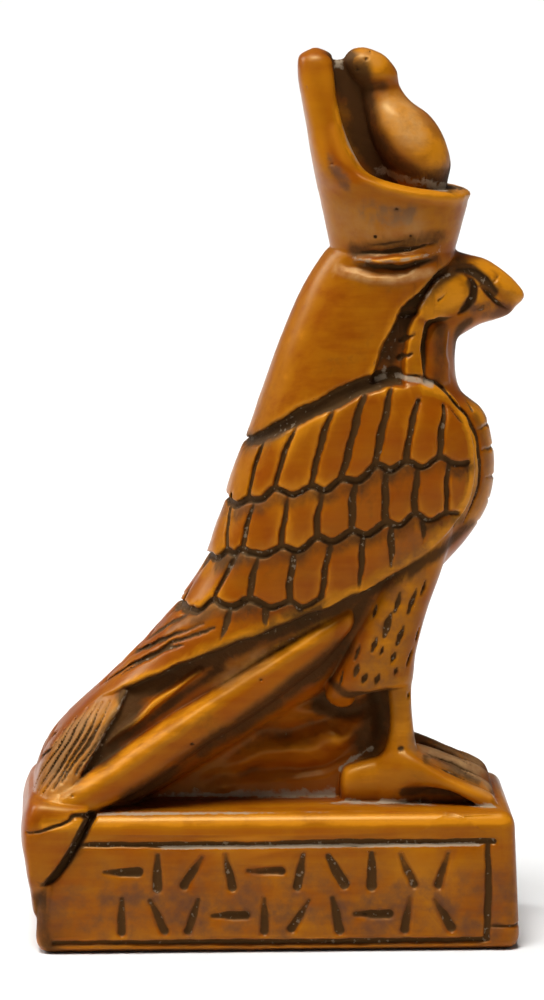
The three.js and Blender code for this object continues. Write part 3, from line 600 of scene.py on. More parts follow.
# Crown
# A flat-topped cup runs up its back into a tall spike, and a bulb that narrows to a knob
# stands in it. A dark gap parts the bulb from the cup's rolled rim, and a thin wall
# between them closes the mould.
CUP_RIBS = [
    [39.2, 72.6, 55.2, 72.8, 6.4, 2.3],
    [38.4, 76.4, 56.2, 76.4, 6.9, 2.3],
    [37.6, 80.0, 57.0, 79.7, 7.5, 2.4],
    [37.2, 81.6, 56.8, 81.2, 7.7, 2.5],
    [36.9, 83.0, 50.6, 82.2, 7.6, 2.7],
    [36.6, 84.6, 44.6, 83.7, 7.0, 2.9],
    [36.2, 86.8, 42.4, 85.9, 6.2, 3.0],
    [35.8, 89.6, 41.0, 89.0, 5.2, 3.0],
    [35.2, 93.0, 40.0, 93.0, 4.3, 3.0],
    [34.6, 96.0, 39.7, 96.3, 3.6, 2.8],
    [34.6, 98.6, 39.5, 98.6, 2.8, 2.4],
    [35.8, 99.9, 38.0, 100.0, 1.4, 2.2],
]
CUP_HOLLOW = [
    [45.0, 80.8, 52.4, 80.6, 3.8, 2.4],
    [43.2, 82.4, 54.0, 81.8, 5.0, 2.5],
    [41.8, 84.4, 57.5, 84.4, 5.0, 2.6],
    [40.6, 87.0, 57.5, 87.0, 4.4, 2.6],
    [39.4, 90.0, 57.5, 90.0, 3.8, 2.6],
    [38.6, 93.5, 57.5, 93.5, 2.9, 2.6],
    [38.3, 96.4, 57.5, 96.4, 2.2, 2.6],
    [38.5, 98.0, 57.5, 98.0, 1.4, 2.4],
]
BULB_RIBS = [
    [47.4, 81.0, 54.6, 80.0, 3.4, 2.0],
    [46.4, 84.0, 54.4, 82.0, 4.6, 2.0],
    [44.8, 86.6, 54.8, 84.8, 5.6, 2.0],
    [43.9, 89.0, 53.8, 88.2, 5.5, 2.0],
    [43.4, 91.4, 52.0, 90.9, 4.4, 2.0],
    [43.0, 93.2, 49.3, 92.9, 2.9, 2.0],
    [42.6, 94.8, 47.9, 94.8, 2.3, 2.0],
    [41.4, 96.2, 47.5, 96.8, 2.9, 2.0],
    [40.6, 98.2, 46.2, 98.6, 2.6, 2.0],
    [41.4, 99.9, 44.4, 99.9, 1.4, 2.0],
]
CUP_ROLL = [[39.2, 89.5], [40.2, 86.6], [42.4, 84.2], [45.6, 82.5], [50.4, 81.4], [56, 80.4]]
CROWN_WALL = [
    [38, 79], [54, 79], [53, 84], [46.5, 91], [43.8, 96.5], [41.6, 98.6],
    [39.2, 98.3], [37.6, 96],
]
CROWN_WALL_HALF_WIDTH = 0.7
LIP_ROUNDING = 1.7


class Slab:
    """A flat form with an outline seen from the side, half_width thick to each side."""

    MARGIN = 3.0
    ROUNDING = 0.8

    def __init__(self, outline, half_width):
        outline = np.asarray(outline, float)
        low_x, low_z = outline.min(0) - self.MARGIN
        high_x, high_z = outline.max(0) + self.MARGIN
        self.place = window(low_x, high_x, low_z, high_z)
        self.x = side_x[self.place[1:]]
        self.z = side_z[self.place[1:]]
        self.rest = np.zeros(self.x.shape + (1,))
        self.half_width = half_width
        gap = np.full(self.x.shape, FAR)
        inside = np.zeros(self.x.shape, bool)
        for a, b in zip(outline, np.roll(outline, -1, 0)):
            run = b - a
            offset = [self.x - a[0], self.z - a[1]]
            along = np.clip((offset[0] * run[0] + offset[1] * run[1]) / (run @ run), 0, 1)
            gap = np.minimum(gap, np.hypot(offset[0] - along * run[0], offset[1] - along * run[1]))
            if a[1] != b[1]:
                passes = (a[1] > self.z) != (b[1] > self.z)
                inside ^= passes & (offset[0] < run[0] * offset[1] / run[1])
        self.flat = np.where(inside, -gap, gap)

    def unroll(self, points):
        return np.asarray(points, float)

    def distance(self, relief=None):
        out = ys[self.place[0]][:, None, None] - self.half_width
        grooves = np.zeros((len(out),) + self.x.shape, np.float32)
        if relief is not None:
            layer, groove = relief.at(self.x, self.z)
            out = out + layer + groove
            grooves = grooves + groove
        return smooth_max(self.flat[None], out, self.ROUNDING).astype(np.float32), grooves


cup = Form(CUP_RIBS)
cup_marks = Relief(cup)
cup_marks.cut([[40.6, 73.2], [43.7, 73.4], [46.1, 73.6], [49.3, 74.2], [52.2, 74.8]], 1.0, 0.6)
cup_marks.cut([[43.5, 74.4], [46.5, 74.9], [49.5, 75.4]], 0.5, 0.25)
cup_marks.ridge(CUP_ROLL, 2.8, 0.6, sizes=(0.4, 1, 1, 1))
cup_marks.pits([[44.6, 75.6], [49.1, 75.9], [38.9, 85.2], [47.2, 79.4]])
cup_distance, cup_grooves = cup.distance(cup_marks, end_radius=1.2)
cup_mouth = Form(CUP_HOLLOW)
cup_field = np.full_like(field, FAR)
cup_field[cup.place] = cup_distance
hollowed = smooth_max(cup_field[cup_mouth.place], -cup_mouth.distance()[0], LIP_ROUNDING)
cup_field[cup_mouth.place] = hollowed
join(cup.place, cup_field[cup.place], radius=0.4, grooves=cup_grooves)
cast(Slab(CROWN_WALL, CROWN_WALL_HALF_WIDTH), radius=0.4)
bulb = Form(BULB_RIBS)
bulb_marks = Relief(bulb)
bulb_marks.pits([[43.5, 98.5], [42.3, 97.1], [44.1, 99.4]])
bulb_marks.ridge([[42.6, 94.6], [45, 95.1], [48, 94.6]], 3.2, -0.35)
cast(bulb, bulb_marks, radius=0.3, end_radius=1.2)

# Legs and feet
# Thick feathered thighs end in a hem above bare shanks. Each foot has a hind toe and
# three front toes, all lying on the plinth.
THIGH_RIBS = [
    [46.5, 36.5, 55.6, 38.0, 4.0, 2.4, -4.4],
    [44.9, 29.6, 53.8, 32.6, 4.0, 2.4, -4.7],
    [41.9, 23.2, 51.7, 25.9, 3.9, 2.5, -4.9],
    [39.9, 18.5, 50.3, 21.0, 3.7, 2.6, -4.9],
    [38.5, 15.6, 49.8, 18.0, 3.4, 2.7, -4.9],
    [38.4, 13.9, 49.5, 16.0, 3.1, 2.8, -4.9],
]
HOCK_RIBS = [
    [38.6, 16.4, 42.6, 16.0, 2.2, 2.2, -5.0],
    [38.3, 14.4, 42.2, 14.0, 2.0, 2.2, -5.0],
    [38.9, 12.9, 41.4, 12.6, 1.2, 2.2, -5.0],
]
SHANK_RIBS = [
    [46.3, 18.5, 49.6, 18.5, 1.8, 2.3, -4.8],
    [46.6, 14.0, 49.6, 14.0, 1.7, 2.3, -4.8],
    [46.7, 10.0, 49.9, 10.0, 1.7, 2.3, -4.8],
    [46.2, 7.0, 50.4, 7.0, 1.9, 2.3, -4.9],
    [45.2, 4.4, 51.6, 4.4, 2.2, 2.3, -5.0],
]
SOLE = -0.4    # the toes sink so far into the plinth
HIND_TOE_RIBS = [
    [40.3, 3.6, 40.3, SOLE, 1.3, 2.4, -4.5],
    [41.2, 4.5, 41.2, SOLE, 1.8, 2.6, -4.5],
    [44.8, 5.6, 44.8, SOLE, 1.9, 2.6, -4.7],
    [48.4, 6.4, 48.4, SOLE, 2.0, 2.6, -5.2],
    [51.4, 5.4, 51.4, SOLE + 1.0, 1.5, 2.6, -5.4],
]
FOOT_SIDE = -5
TOE_START = 45.4
TOE_REACH = 60.8
TOE_TIPS = [-8.3, -5.4, -2.5]
TOE_ARCH = 2.2
TOE_RISE = 0.9
TOE_SPREAD = 0.3
DENT_SWELL = 1.25
DENT_DEPTH = 0.5
THIGH_DENTS = [
    # x, z, width and length
    [47.5, 27.5, 0.9, 2.8], [49.5, 27.7, 0.9, 3.3], [46.2, 24.5, 1.1, 3.1], [47.9, 23.1, 0.9, 2.3],
    [44.5, 21.8, 1.0, 2.0], [42.2, 20.7, 0.7, 2.0], [47.0, 20.1, 0.9, 1.5], [47.5, 18.1, 0.7, 1.0],
    [42.1, 18.4, 0.9, 1.5], [43.2, 17.3, 0.9, 1.0], [44.9, 17.2, 0.9, 1.3], [40.1, 17.0, 0.6, 2.0],
    [50.9, 29.5, 0.6, 2.0], [50.3, 23.0, 0.5, 1.8], [49.2, 20.0, 0.6, 2.3], [44.5, 26.1, 0.6, 1.5],
    [45.6, 21.1, 0.5, 1.3],
]
HEM = [[41.6, 15.3], [44, 15.3], [46.5, 15.6], [49.3, 15.4]]
TOE_CREASES = [
    # points, width and depth
    ([[50.5, 5.6], [54, 4.2], [58.6, 1.9]], 0.6, 0.35),
    ([[51.5, 4.3], [54.5, 3.2], [57.6, 1.6]], 0.5, 0.3),
    ([[50, 6.9], [53.6, 5.3], [56.6, 3.8]], 0.5, 0.3),
]


def toe_ribs(tip, arch, rise):
    root = FOOT_SIDE + (tip - FOOT_SIDE) * TOE_SPREAD
    stages = (
        # share of the toe, top, foot, half width, share of the spread
        (0, 6.0, 0, 0.8, 0),
        (0.15, 6.8, 0.3, 1.4, 0.1),
        (0.3, 6.5 + rise / 2, arch, 1.7, 0.25),
        (0.6, 3.9 + rise, arch, 1.7, 0.65),
        (0.9, 1.9 + rise, 0, 1.5, 1),
        (1, 1.0 + rise / 2, 0, 0.8, 1.05),
    )
    ribs = []
    for share, top, foot, wide, out in stages:
        x = TOE_START + (TOE_REACH - TOE_START) * share
        ribs.append([x, top, x, SOLE + foot, wide, 2.4, root + (tip - root) * out])
    return ribs


thigh = Form(THIGH_RIBS)
down = Relief(thigh)
for x, z, width, long in THIGH_DENTS:
    dent = [[x + 0.15 * long, z + long / 2], [x - 0.15 * long, z - long / 2]]
    down.cut(dent, DENT_SWELL * width, DENT_DEPTH, sizes=(0.5, 1, 0.6))
down.cut(HEM, 0.8, 0.4)
cast(thigh, down)
for ribs in [HOCK_RIBS, HIND_TOE_RIBS]:
    cast(Form(ribs), radius=0.7)
shank = Form(SHANK_RIBS)
shank_marks = Relief(shank)
shank_marks.pits([[49.2, 14.4], [48.2, 7.4]], width=1.0, depth=0.3)
cast(shank, shank_marks, radius=0.7)
for i, tip in enumerate(TOE_TIPS):
    lift = i * TOE_RISE
    toe = Form(toe_ribs(tip, 0 if i else TOE_ARCH, lift))
    toe_marks = Relief(toe)
    for crease, width, depth in TOE_CREASES if i else []:
        toe_marks.cut([[x, z + lift] for x, z in crease], width, depth)
    cast(toe, toe_marks, radius=0.35 if i else 0.7)

# Web
# The space between the legs, the tail and the plinth is closed by a rough uneven wall of
# resin, which spares the mould an opening there. It runs forward into the shanks.
WEB = [
    [10, -0.5], [12, 3.5], [20, 9], [30, 15.5], [40, 24], [48.2, 24],
    [48.3, 12], [48.5, 6], [49, -0.5],
]
WEB_HALF_WIDTH = 3.3
HOLLOW_WIDTH = 3.4
HOLLOW_DEPTH = 0.9
LUMP_WIDTH = 3.6
LUMP_HEIGHT = 0.8
WEB_HOLLOWS = [
    [[29.6, 9.3], [32.2, 8.9], [34.9, 9.3], [37.6, 10.2], [40.2, 10.9]],
    [[37.6, 13.8], [40.5, 11.8], [43.6, 12.2], [45.8, 15]],
    [[22.9, 2.4], [26.5, 3.4], [31, 3.8], [36.2, 3.8], [40, 5.2], [43, 7.6]],
    [[44.8, 15.8], [45.6, 12], [45.8, 9], [44.4, 6.4]],
]
WEB_LUMPS = [
    [[24.5, 2], [28, 5.6], [32, 6.6], [36, 6.9], [39.6, 7.8]],
    [[32, 12], [35, 12.2], [37, 11.6]],
    [[38, 8.6], [40.5, 8.2], [42, 9.6]],
]
web = Slab(WEB, WEB_HALF_WIDTH)
wall = Relief(web)
for line in WEB_HOLLOWS:
    wall.ridge(line, HOLLOW_WIDTH, -HOLLOW_DEPTH)
for line in WEB_LUMPS:
    wall.ridge(line, LUMP_WIDTH, LUMP_HEIGHT)
cast(web, wall, radius=0.8)

# Plinth
# An oblong block with softened edges. Each long side has a framed panel with two rows of
# shallow strokes, and the tail's end hangs over the rear as a pointed flap.
TOE_MARGIN = 2.4    # millimetres of plinth before the toes
SIDE_MARGIN = 0.6    # millimetres of plinth beside the tail
LENGTH = TOE_REACH + TOE_MARGIN / UNIT
SIDE = TAIL_HALF_WIDTH + SIDE_MARGIN / UNIT
CORNER = 1.8 / UNIT
BEVEL = 1.4 / UNIT
TOP_ROUNDING = 1.6 * BEVEL
LEAN = 0.45 / UNIT    # how much farther the ends reach at the foot than halfway up
FLAP = 0.9 / UNIT
FLAP_SIDE = SIDE + FLAP
FLAP_RIBS = [
    [-FLAP, 1.8, 7.4, 1.0, FLAP_SIDE - 0.8, 7],
    [-FLAP - 1.1, -0.04 * DROP, 6.7, -0.05 * DROP, FLAP_SIDE, 7],
    [-FLAP - 1.3, -0.19 * DROP, 4.9, -0.21 * DROP, FLAP_SIDE, 7],
    [-FLAP - 0.9, -0.34 * DROP, 2.9, -0.37 * DROP, FLAP_SIDE, 6],
    [-FLAP - 0.6, -0.46 * DROP, 1.2, -0.49 * DROP, FLAP_SIDE - 0.5, 6],
    [-FLAP - 0.2, -0.6 * DROP, 0.8, -0.63 * DROP, FLAP_SIDE - 2.2, 5],
    [-FLAP + 0.2, -0.76 * DROP, 0.8, -0.77 * DROP, FLAP_SIDE - 3.0, 5],
]
FLAP_GROOVE = [[6.8, -0.3], [5.7, -2.2], [4.6, -4.3], [3.3, -6.5], [1.9, -8.3], [0.4, -9.2]]
FLAP_EDGE = [[-1.6, -2], [0.2, -1.8], [1.9, -1.2], [4, -0.6], [6, 0.1], [8.2, 0.9]]
FRAME_TOP = -3.75 / UNIT
FRAME_BOTTOM = -DROP + 1.45 / UNIT
FRAME_RIGHT = LENGTH - 3.75 / UNIT
FRAME_LINE_WIDTH = 1.3
FRAME_LINE_DEPTH = 0.5
PANEL_START = 8.6
PANEL_MARGIN = 1.2    # kept free before the frame's right line
PANEL_FADE = 1.5    # its cuts are whole so far in from the side, and gone twice as far in
STROKE_PITCH = 4.4 / UNIT
STROKE_WIDTH = 1.7
STROKE_DEPTH = 0.45
STROKE_ROWS = 2
STROKE_FILL = 0.74    # share of a row's height that a stroke takes
STROKE_TILTS = [0, 24, -18, 90, 0, -32, 12, 90, -10, 30]
TILT_SHIFT = 3    # by how many strokes the second row's tilts run ahead

plinth = Slab([[0, 0], [LENGTH, 0], [LENGTH, -DROP], [0, -DROP]], SIDE)
panel = Relief(plinth, stray=0.03)
frame_lines = [
    [[PANEL_START - 3.4, FRAME_TOP + 0.15], [PANEL_START + 12, FRAME_TOP],
     [FRAME_RIGHT - 8, FRAME_TOP + 0.1], [FRAME_RIGHT + 0.8, FRAME_TOP + 0.1]],
    [[FRAME_RIGHT, FRAME_TOP], [FRAME_RIGHT + 0.1, FRAME_TOP / 2 + FRAME_BOTTOM / 2],
     [FRAME_RIGHT, FRAME_BOTTOM]],
    [[2.0, FRAME_BOTTOM + 0.1], [20.0, FRAME_BOTTOM], [FRAME_RIGHT - 20, FRAME_BOTTOM - 0.1],
     [FRAME_RIGHT, FRAME_BOTTOM]],
]
corner_line = [[FRAME_RIGHT + 0.2, FRAME_BOTTOM + 1.9], [LENGTH + 1, FRAME_BOTTOM + 1.8]]
for line in frame_lines:
    panel.cut(line, FRAME_LINE_WIDTH, FRAME_LINE_DEPTH, sizes=(0.8, 1, 1, 0.9))
panel.cut(corner_line, 0.6, 0.3, sizes=(1, 1))
row_height = (FRAME_TOP - FRAME_BOTTOM - FRAME_LINE_WIDTH) / STROKE_ROWS
for row in range(STROKE_ROWS):
    for i in range(int((FRAME_RIGHT - PANEL_MARGIN - PANEL_START) / STROKE_PITCH)):
        tilt = math.radians(STROKE_TILTS[(i + TILT_SHIFT * row) % len(STROKE_TILTS)])
        reach = row_height * STROKE_FILL / 2
        x = PANEL_START + (i + 0.5) * STROKE_PITCH
        z = FRAME_BOTTOM + FRAME_LINE_WIDTH / 2 + (row + 0.5) * row_height
        run_x, run_z = -math.sin(tilt) * reach, math.cos(tilt) * reach
        stroke = [[x - run_x, z - run_z], [x + run_x, z + run_z]]
        panel.cut(stroke, STROKE_WIDTH, STROKE_DEPTH, sizes=(1.1, 1, 0.6))
panel.cut(FLAP_GROOVE, 1.7, 0.9, sizes=(1.3, 1.1, 0.9, 0.6))
place = plinth.place
x, z = side_x[place[1:]][None], side_z[place[1:]][None]
y = ys[place[0]][:, None, None]
lean = LEAN * (1 - 2 * (z + DROP) / DROP)
out_x = np.abs(x - LENGTH / 2) - (LENGTH / 2 + lean - CORNER)
out_y = y - (SIDE - CORNER)
around = (np.hypot(np.maximum(out_x, 0), np.maximum(out_y, 0))
          + np.minimum(np.maximum(out_x, out_y), 0) - CORNER)
level = np.abs(z + DROP / 2) - DROP / 2
panel_cuts = panel.at(side_x[place[1:]], side_z[place[1:]])[1][None]
panel_cuts = panel_cuts * ease((y - SIDE + 2 * PANEL_FADE) / PANEL_FADE)
block = smooth_max(around, level, TOP_ROUNDING) + panel_cuts
join(place, block.astype(np.float32), radius=0.5, grooves=panel_cuts)
flap = Form(FLAP_RIBS)
flap_marks = Relief(flap)
flap_marks.cut(FLAP_EDGE, 1.1, 0.6)
cast(flap, flap_marks, radius=0.3)

# The casting
# The field's surface becomes one closed mesh: a net of quads through the cells that the
# surface passes, pulled on to it and mirrored, then thinned where it is flat.
TRIANGLES = 190000


def net(grid):
    """The vertices, in grid steps, and quads of the surface where grid is zero."""
    inside = grid < 0
    corners = sum(inside[a:a - 1 or None, b:b - 1 or None, c:c - 1 or None].astype(np.uint8)
                  for a, b, c in np.ndindex(2, 2, 2))
    cells = np.flatnonzero((corners > 0) & (corners < 8))
    number = np.full(corners.shape, -1, np.int32)
    number.ravel()[cells] = np.arange(len(cells), dtype=np.int32)
    base = np.stack(np.unravel_index(cells, corners.shape), 1)
    total = np.zeros((len(cells), 3))
    hits = np.zeros(len(cells))
    for axis in range(3):
        for a, b in np.ndindex(2, 2):
            start = np.insert([a, b], axis, 0)
            end = np.insert([a, b], axis, 1)
            first = grid[tuple((base + start).T)]
            last = grid[tuple((base + end).T)]
            passes = (first < 0) != (last < 0)
            share = first[passes] / (first[passes] - last[passes])
            total[passes] += start + share[:, None] * (end - start)
            hits[passes] += 1
    quads = []
    for axis in range(3):
        others = [other for other in range(3) if other != axis]
        lower = [slice(1, -1)] * 3
        upper = [slice(1, -1)] * 3
        lower[axis], upper[axis] = slice(0, -1), slice(1, None)
        for outward in (True, False):
            first, last = inside[tuple(lower)], inside[tuple(upper)]
            edges = np.argwhere((first & ~last) if outward else (~first & last))
            edges[:, others] += 1
            ring = []
            for a, b in ((-1, -1), (0, -1), (0, 0), (-1, 0)):
                cell = edges.copy()
                cell[:, others[0]] += a
                cell[:, others[1]] += b
                ring.append(number[tuple(cell.T)])
            ring = np.stack(ring, 1)
            quads.append(ring if outward == (axis != 1) else ring[:, ::-1])
    return base + total / hits[:, None], np.concatenate(quads)


def pull(grid, spots):
    """One step towards the surface, straight along the grid's slope."""
    value = sample(grid, spots.T)
    slope = np.zeros_like(spots)
    for axis in range(3):
        shift = np.zeros(3)
        shift[axis] = 0.5
        slope[:, axis] = sample(grid, (spots + shift).T) - sample(grid, (spots - shift).T)
    steep = np.maximum((slope ** 2).sum(1), 1e-4)
    step = np.clip(value / steep, -1, 1)
    return spots - slope * step[:, None]


half = np.concatenate([field[:1], field])
spots, quads = net(half)
middle = np.abs(spots[:, 0] - 0.5) < 1e-4
for _ in range(2):
    spots = pull(half, spots)
    spots[middle, 0] = 0.5
points = np.stack([xs[0] + spots[:, 1] * STEP, (spots[:, 0] - 0.5) * STEP,
                   zs[0] + spots[:, 2] * STEP], 1)
twin = np.where(middle, np.arange(len(points)), len(points) - 1 + np.cumsum(~middle))
points = np.concatenate([points, points[~middle] * [1, -1, 1]])
quads = quads[:, ::-1]
quads = np.concatenate([quads, twin[quads][:, ::-1]])

rear = -(LENGTH * UNIT) / 2
metres = points * UNIT * MM
metres[:, 0] += rear * MM
metres[:, 2] += plinth_height * MM
raw = bpy.data.meshes.new("casting_net")
raw.vertices.add(len(metres))
raw.vertices.foreach_set("co", metres.astype(np.float32).ravel())
raw.loops.add(quads.size)
raw.loops.foreach_set("vertex_index", quads.astype(np.int32).ravel())
raw.polygons.add(len(quads))
raw.polygons.foreach_set("loop_start", np.arange(0, quads.size, 4, dtype=np.int32))
raw.update(calc_edges=True)
figure = bpy.data.objects.new("falcon_casting", raw)
bpy.context.scene.collection.objects.link(figure)
thin = figure.modifiers.new("thin", "DECIMATE")
thin.ratio = min(1.0, TRIANGLES / (2 * len(quads)))
thin.use_collapse_triangulate = True
bpy.context.view_layer.update()
done = figure.evaluated_get(bpy.context.evaluated_depsgraph_get())
mesh = bpy.data.meshes.new_from_object(done)
figure.modifiers.clear()
figure.data = mesh
bpy.data.meshes.remove(raw)
mesh.shade_smooth()

# Unevenness
# The model for the mould was shaped by hand, so its faces are never quite true and its
# two sides differ a little. Slow waves in several directions push the surface in and out.
WAVES = 14
WAVE_DEPTH = 0.02
WAVE_LENGTHS = (6.0, 20.0)
STILL_FOOT = 0.3    # the underside stays flat up to here

corners = np.empty(len(mesh.vertices) * 3, np.float32)
normals = np.empty_like(corners)
mesh.vertices.foreach_get("co", corners)
mesh.vertices.foreach_get("normal", normals)
corners = corners.reshape(-1, 3) / (UNIT * MM)
chance = np.random.default_rng(7)
push = np.zeros(len(corners))
for _ in range(WAVES):
    heading = chance.normal(size=3)
    heading /= np.linalg.norm(heading)
    length = chance.uniform(*WAVE_LENGTHS)
    push += np.sin(corners @ heading * 2 * math.pi / length + chance.uniform(0, 2 * math.pi))
moved = corners + normals.reshape(-1, 3) * (WAVE_DEPTH * push)[:, None]
moved[:, 2] = np.where(corners[:, 2] < STILL_FOOT, corners[:, 2], moved[:, 2])
mesh.vertices.foreach_set("co", (moved * UNIT * MM).astype(np.float32).ravel())
mesh.update()

# Where patina gathers, and where shade and highlights are painted
# The dark patina was brushed on and wiped off, so it stays in grooves and hollows. These
# are measured from the field: its mean over a small box is lower where resin surrounds a
# place and higher on an edge. The same measures place painted shade in hollows and painted
# highlights on edges.
HOLLOW_FINE = 0.7
HOLLOW_BROAD = 2.4


def blurred(grid, reach):
    """The mean of the grid over a box that reaches so far, taken twice."""
    count = max(1, int(round(reach / STEP)))
    for _ in range(2):
        for axis in range(3):
            rows = np.moveaxis(grid, axis, 0)
            rows = np.concatenate([np.repeat(rows[:1], count + 1, 0), rows,
                                   np.repeat(rows[-1:], count, 0)])
            total = np.cumsum(rows, 0, dtype=np.float32)
            mean = (total[2 * count + 1:] - total[:-2 * count - 1]) / (2 * count + 1)
            grid = np.moveaxis(mean, 0, axis)
    return grid


def hollow(reach):
    """How hollow each vertex's place is, seen over such a reach."""
    return -sample(blurred(np.clip(half, -reach, reach), reach / 2), vertex_spots) / reach


def write(name, values):
    attribute = mesh.attributes.new(name, "FLOAT", "POINT")
    attribute.data.foreach_set("value", np.asarray(values, np.float32))


corners = np.empty(len(mesh.vertices) * 3, np.float32)
mesh.vertices.foreach_get("co", corners)
corners = corners.reshape(-1, 3) / MM
bird_x = (corners[:, 0] - rear) / UNIT
bird_y = corners[:, 1] / UNIT
bird_z = (corners[:, 2] - plinth_height) / UNIT
vertex_spots = [np.abs(bird_y) / STEP + 0.5, (bird_x - xs[0]) / STEP, (bird_z - zs[0]) / STEP]
write("fine_hollow", hollow(HOLLOW_FINE))
write("broad_hollow", hollow(HOLLOW_BROAD))
write("engraving", sample(np.concatenate([engraved[:1], engraved]), vertex_spots))

# Wash, residue and painted light
# The wash was brushed on by hand, so it is drawn here as strokes seen from the side: a
# dark stain that in recesses is painted shade too, a dull film, paler amber where it was
# rubbed clean together with painted highlights, pale patches that are mostly painted
# highlights, and crusts of pale residue.
WHOLE_SIDE = (0.0, 12.0)
# partly the dark wash, partly painted shade in recesses: between the legs, under wings and tail, in
# the crown's gap and in creases
STAINS_AND_SHADE = [
    # points, reach, strength, and the range of y covered where that isn't the whole side
    ([[16, 3], [26, 6.5], [36, 10.5], [44, 12]], 8.5, 0.3, 0, 4.4),
    ([[45.4, 15], [44.8, 10], [43.6, 7.6]], 3.2, 1, 0, 4.4),
    ([[38, 12.6], [41, 12], [44, 12.4]], 2.4, 0.9, 0, 4.4),
    ([[40.4, 21.2], [33.4, 15.6], [28.1, 11.8], [22.8, 8.3], [17.5, 4.8], [12.3, 1.6]],
     2.6, 0.85),
    ([[41.5, 28], [36, 25.7], [30, 23.2], [24, 20.5], [18.5, 18], [11.8, 14.6]],
     1.9, 1.1, 0, 9.7),
    ([[24.5, 18.6], [20, 15.6], [15, 11.9], [10.5, 8.8], [7.5, 6.6]], 0.9, 0.9, 0, 9.7),
    ([[13, 14.2], [11, 11], [8.6, 7.4]], 2.2, 1, 0, 10.2),
    ([[43, 28], [41, 24], [39, 20.5], [36.6, 17]], 1.8, 0.9, 0, 7.6),
    ([[48.6, 1.6], [51.5, 1.8], [55.5, 1.2]], 1.1, 0.8, 0, 8.6),
    ([[51.4, 5.9], [54.5, 4.6], [58.5, 2.6]], 0.7, 0.7, 0, 8),
    ([[40.2, 97.5], [42, 94], [43, 90], [45, 86.5], [48.5, 83.6], [54, 82]],
     3.4, 1.6, 0, 1.9),
    ([[42.6, 97.4], [43.2, 93.5], [44.1, 89.6], [46.2, 86], [49.8, 83.6], [54, 82.2]],
     2.1, 0.85, 0, 6),
    ([[42.4, 95.6], [44, 95.2], [45.6, 95]], 1.3, 0.6, 0, 5),
    ([[49.5, 84.2], [52, 83.8], [54.6, 83.4]], 1.5, 0.6, 0, 6.5),
    ([[42, 73.8], [44.5, 74.2], [47, 74.6], [50, 75.1], [53, 75.6]], 1.6, 0.75, 0, 9),
    ([[43.6, 72.1], [45.6, 71.8], [48, 71.7], [50.4, 72.2], [52.6, 72.8]], 0.8, 0.8, 0, 9),
    ([[55.8, 71.6], [53.4, 70.2], [51, 67.9], [49, 65.7], [47.7, 63.2], [46.8, 60.4],
      [46, 57.4]], 1.6, 0.8),
    ([[22, 46.5], [27.7, 47.9], [34.4, 52.2], [39.1, 54.6], [43.2, 56.5], [46, 57.2]],
     1.5, 0.8),
    ([[53.2, 63.6], [53.2, 60], [53, 57]], 1.5, 0.6),
    ([[57.2, 64.2], [55.9, 63], [55.6, 60.5], [56.2, 57]], 1, 0.7),
    ([[55.6, 71.2], [57.6, 70.6], [59.2, 69.2], [60.2, 68]], 1.1, 0.9),
    ([[56.3, 65.8], [57.5, 67.4], [57.2, 69.4]], 0.9, 0.9),
    ([[57.4, 37.2], [53.7, 34.5], [50.4, 32.6], [46.6, 30.3], [43, 28.5]], 1.2, 0.9, 0, 9.2),
    ([[58, 51.5], [59.2, 48], [59.5, 44], [58.2, 39.6]], 0.8, 0.4, 0, 9.3),
    ([[6.6, -0.5], [5, -4], [3.4, -6.5], [1.6, -8.6]], 1.2, 1, 0, 13.3),
    ([[0.4, -11], [0.6, -16], [1.8, -18.4]], 1.6, 0.7, 0, 14),
    ([[2, -18.6], [62, -18.6]], 0.5, 0.6, 0, 14),
    ([[6, 10.4], [0, 4]], 3, 0.4, 0, 9),
    ([[39, 16.4], [41, 15], [44, 14.8], [46.6, 15.2]], 0.9, 0.8),
    ([[49.7, 69.4], [49.3, 67.4]], 0.5, 0.5),
    ([[40.5, 45], [40.8, 38.8]], 3, 0.2, 5, 14),
    ([[51, 43.5], [47, 41.5]], 3.5, 0.3, 5, 14),
    ([[36, 31.5], [27, 31]], 3.5, 0.25, 5, 14),
]
FILMS = [
    ([[38, 79], [47, 78], [56, 78.5]], 6.5, 0.2),
    ([[38.3, 85.8], [39.5, 84.3], [40.8, 82.7]], 1.5, 0.6),
    ([[43.6, 79], [45.8, 78.4], [48.6, 78.8]], 1.9, 0.75),
    ([[57.4, 66.4], [59.5, 65.6], [61.8, 65.4]], 1.8, 0.7),
    ([[58, 68.6], [59.4, 67.6]], 0.9, 0.6),
    ([[50, 34], [46.5, 26], [45, 17]], 6.5, 0.35, 3.4, 12),
    ([[50.5, 8.4], [54, 6.4], [58, 3.8], [60.4, 1.8]], 2, 0.9, 0, 6.4),
    ([[4, -13], [60, -13]], 9, 0.45, 10, 15),
    ([[8, 12], [2, 4]], 4.5, 0.4, 5, 13),
    ([[58.5, 54], [60.6, 48], [60.4, 42], [57.5, 36.5]], 2, 0.1, 0, 9),
]
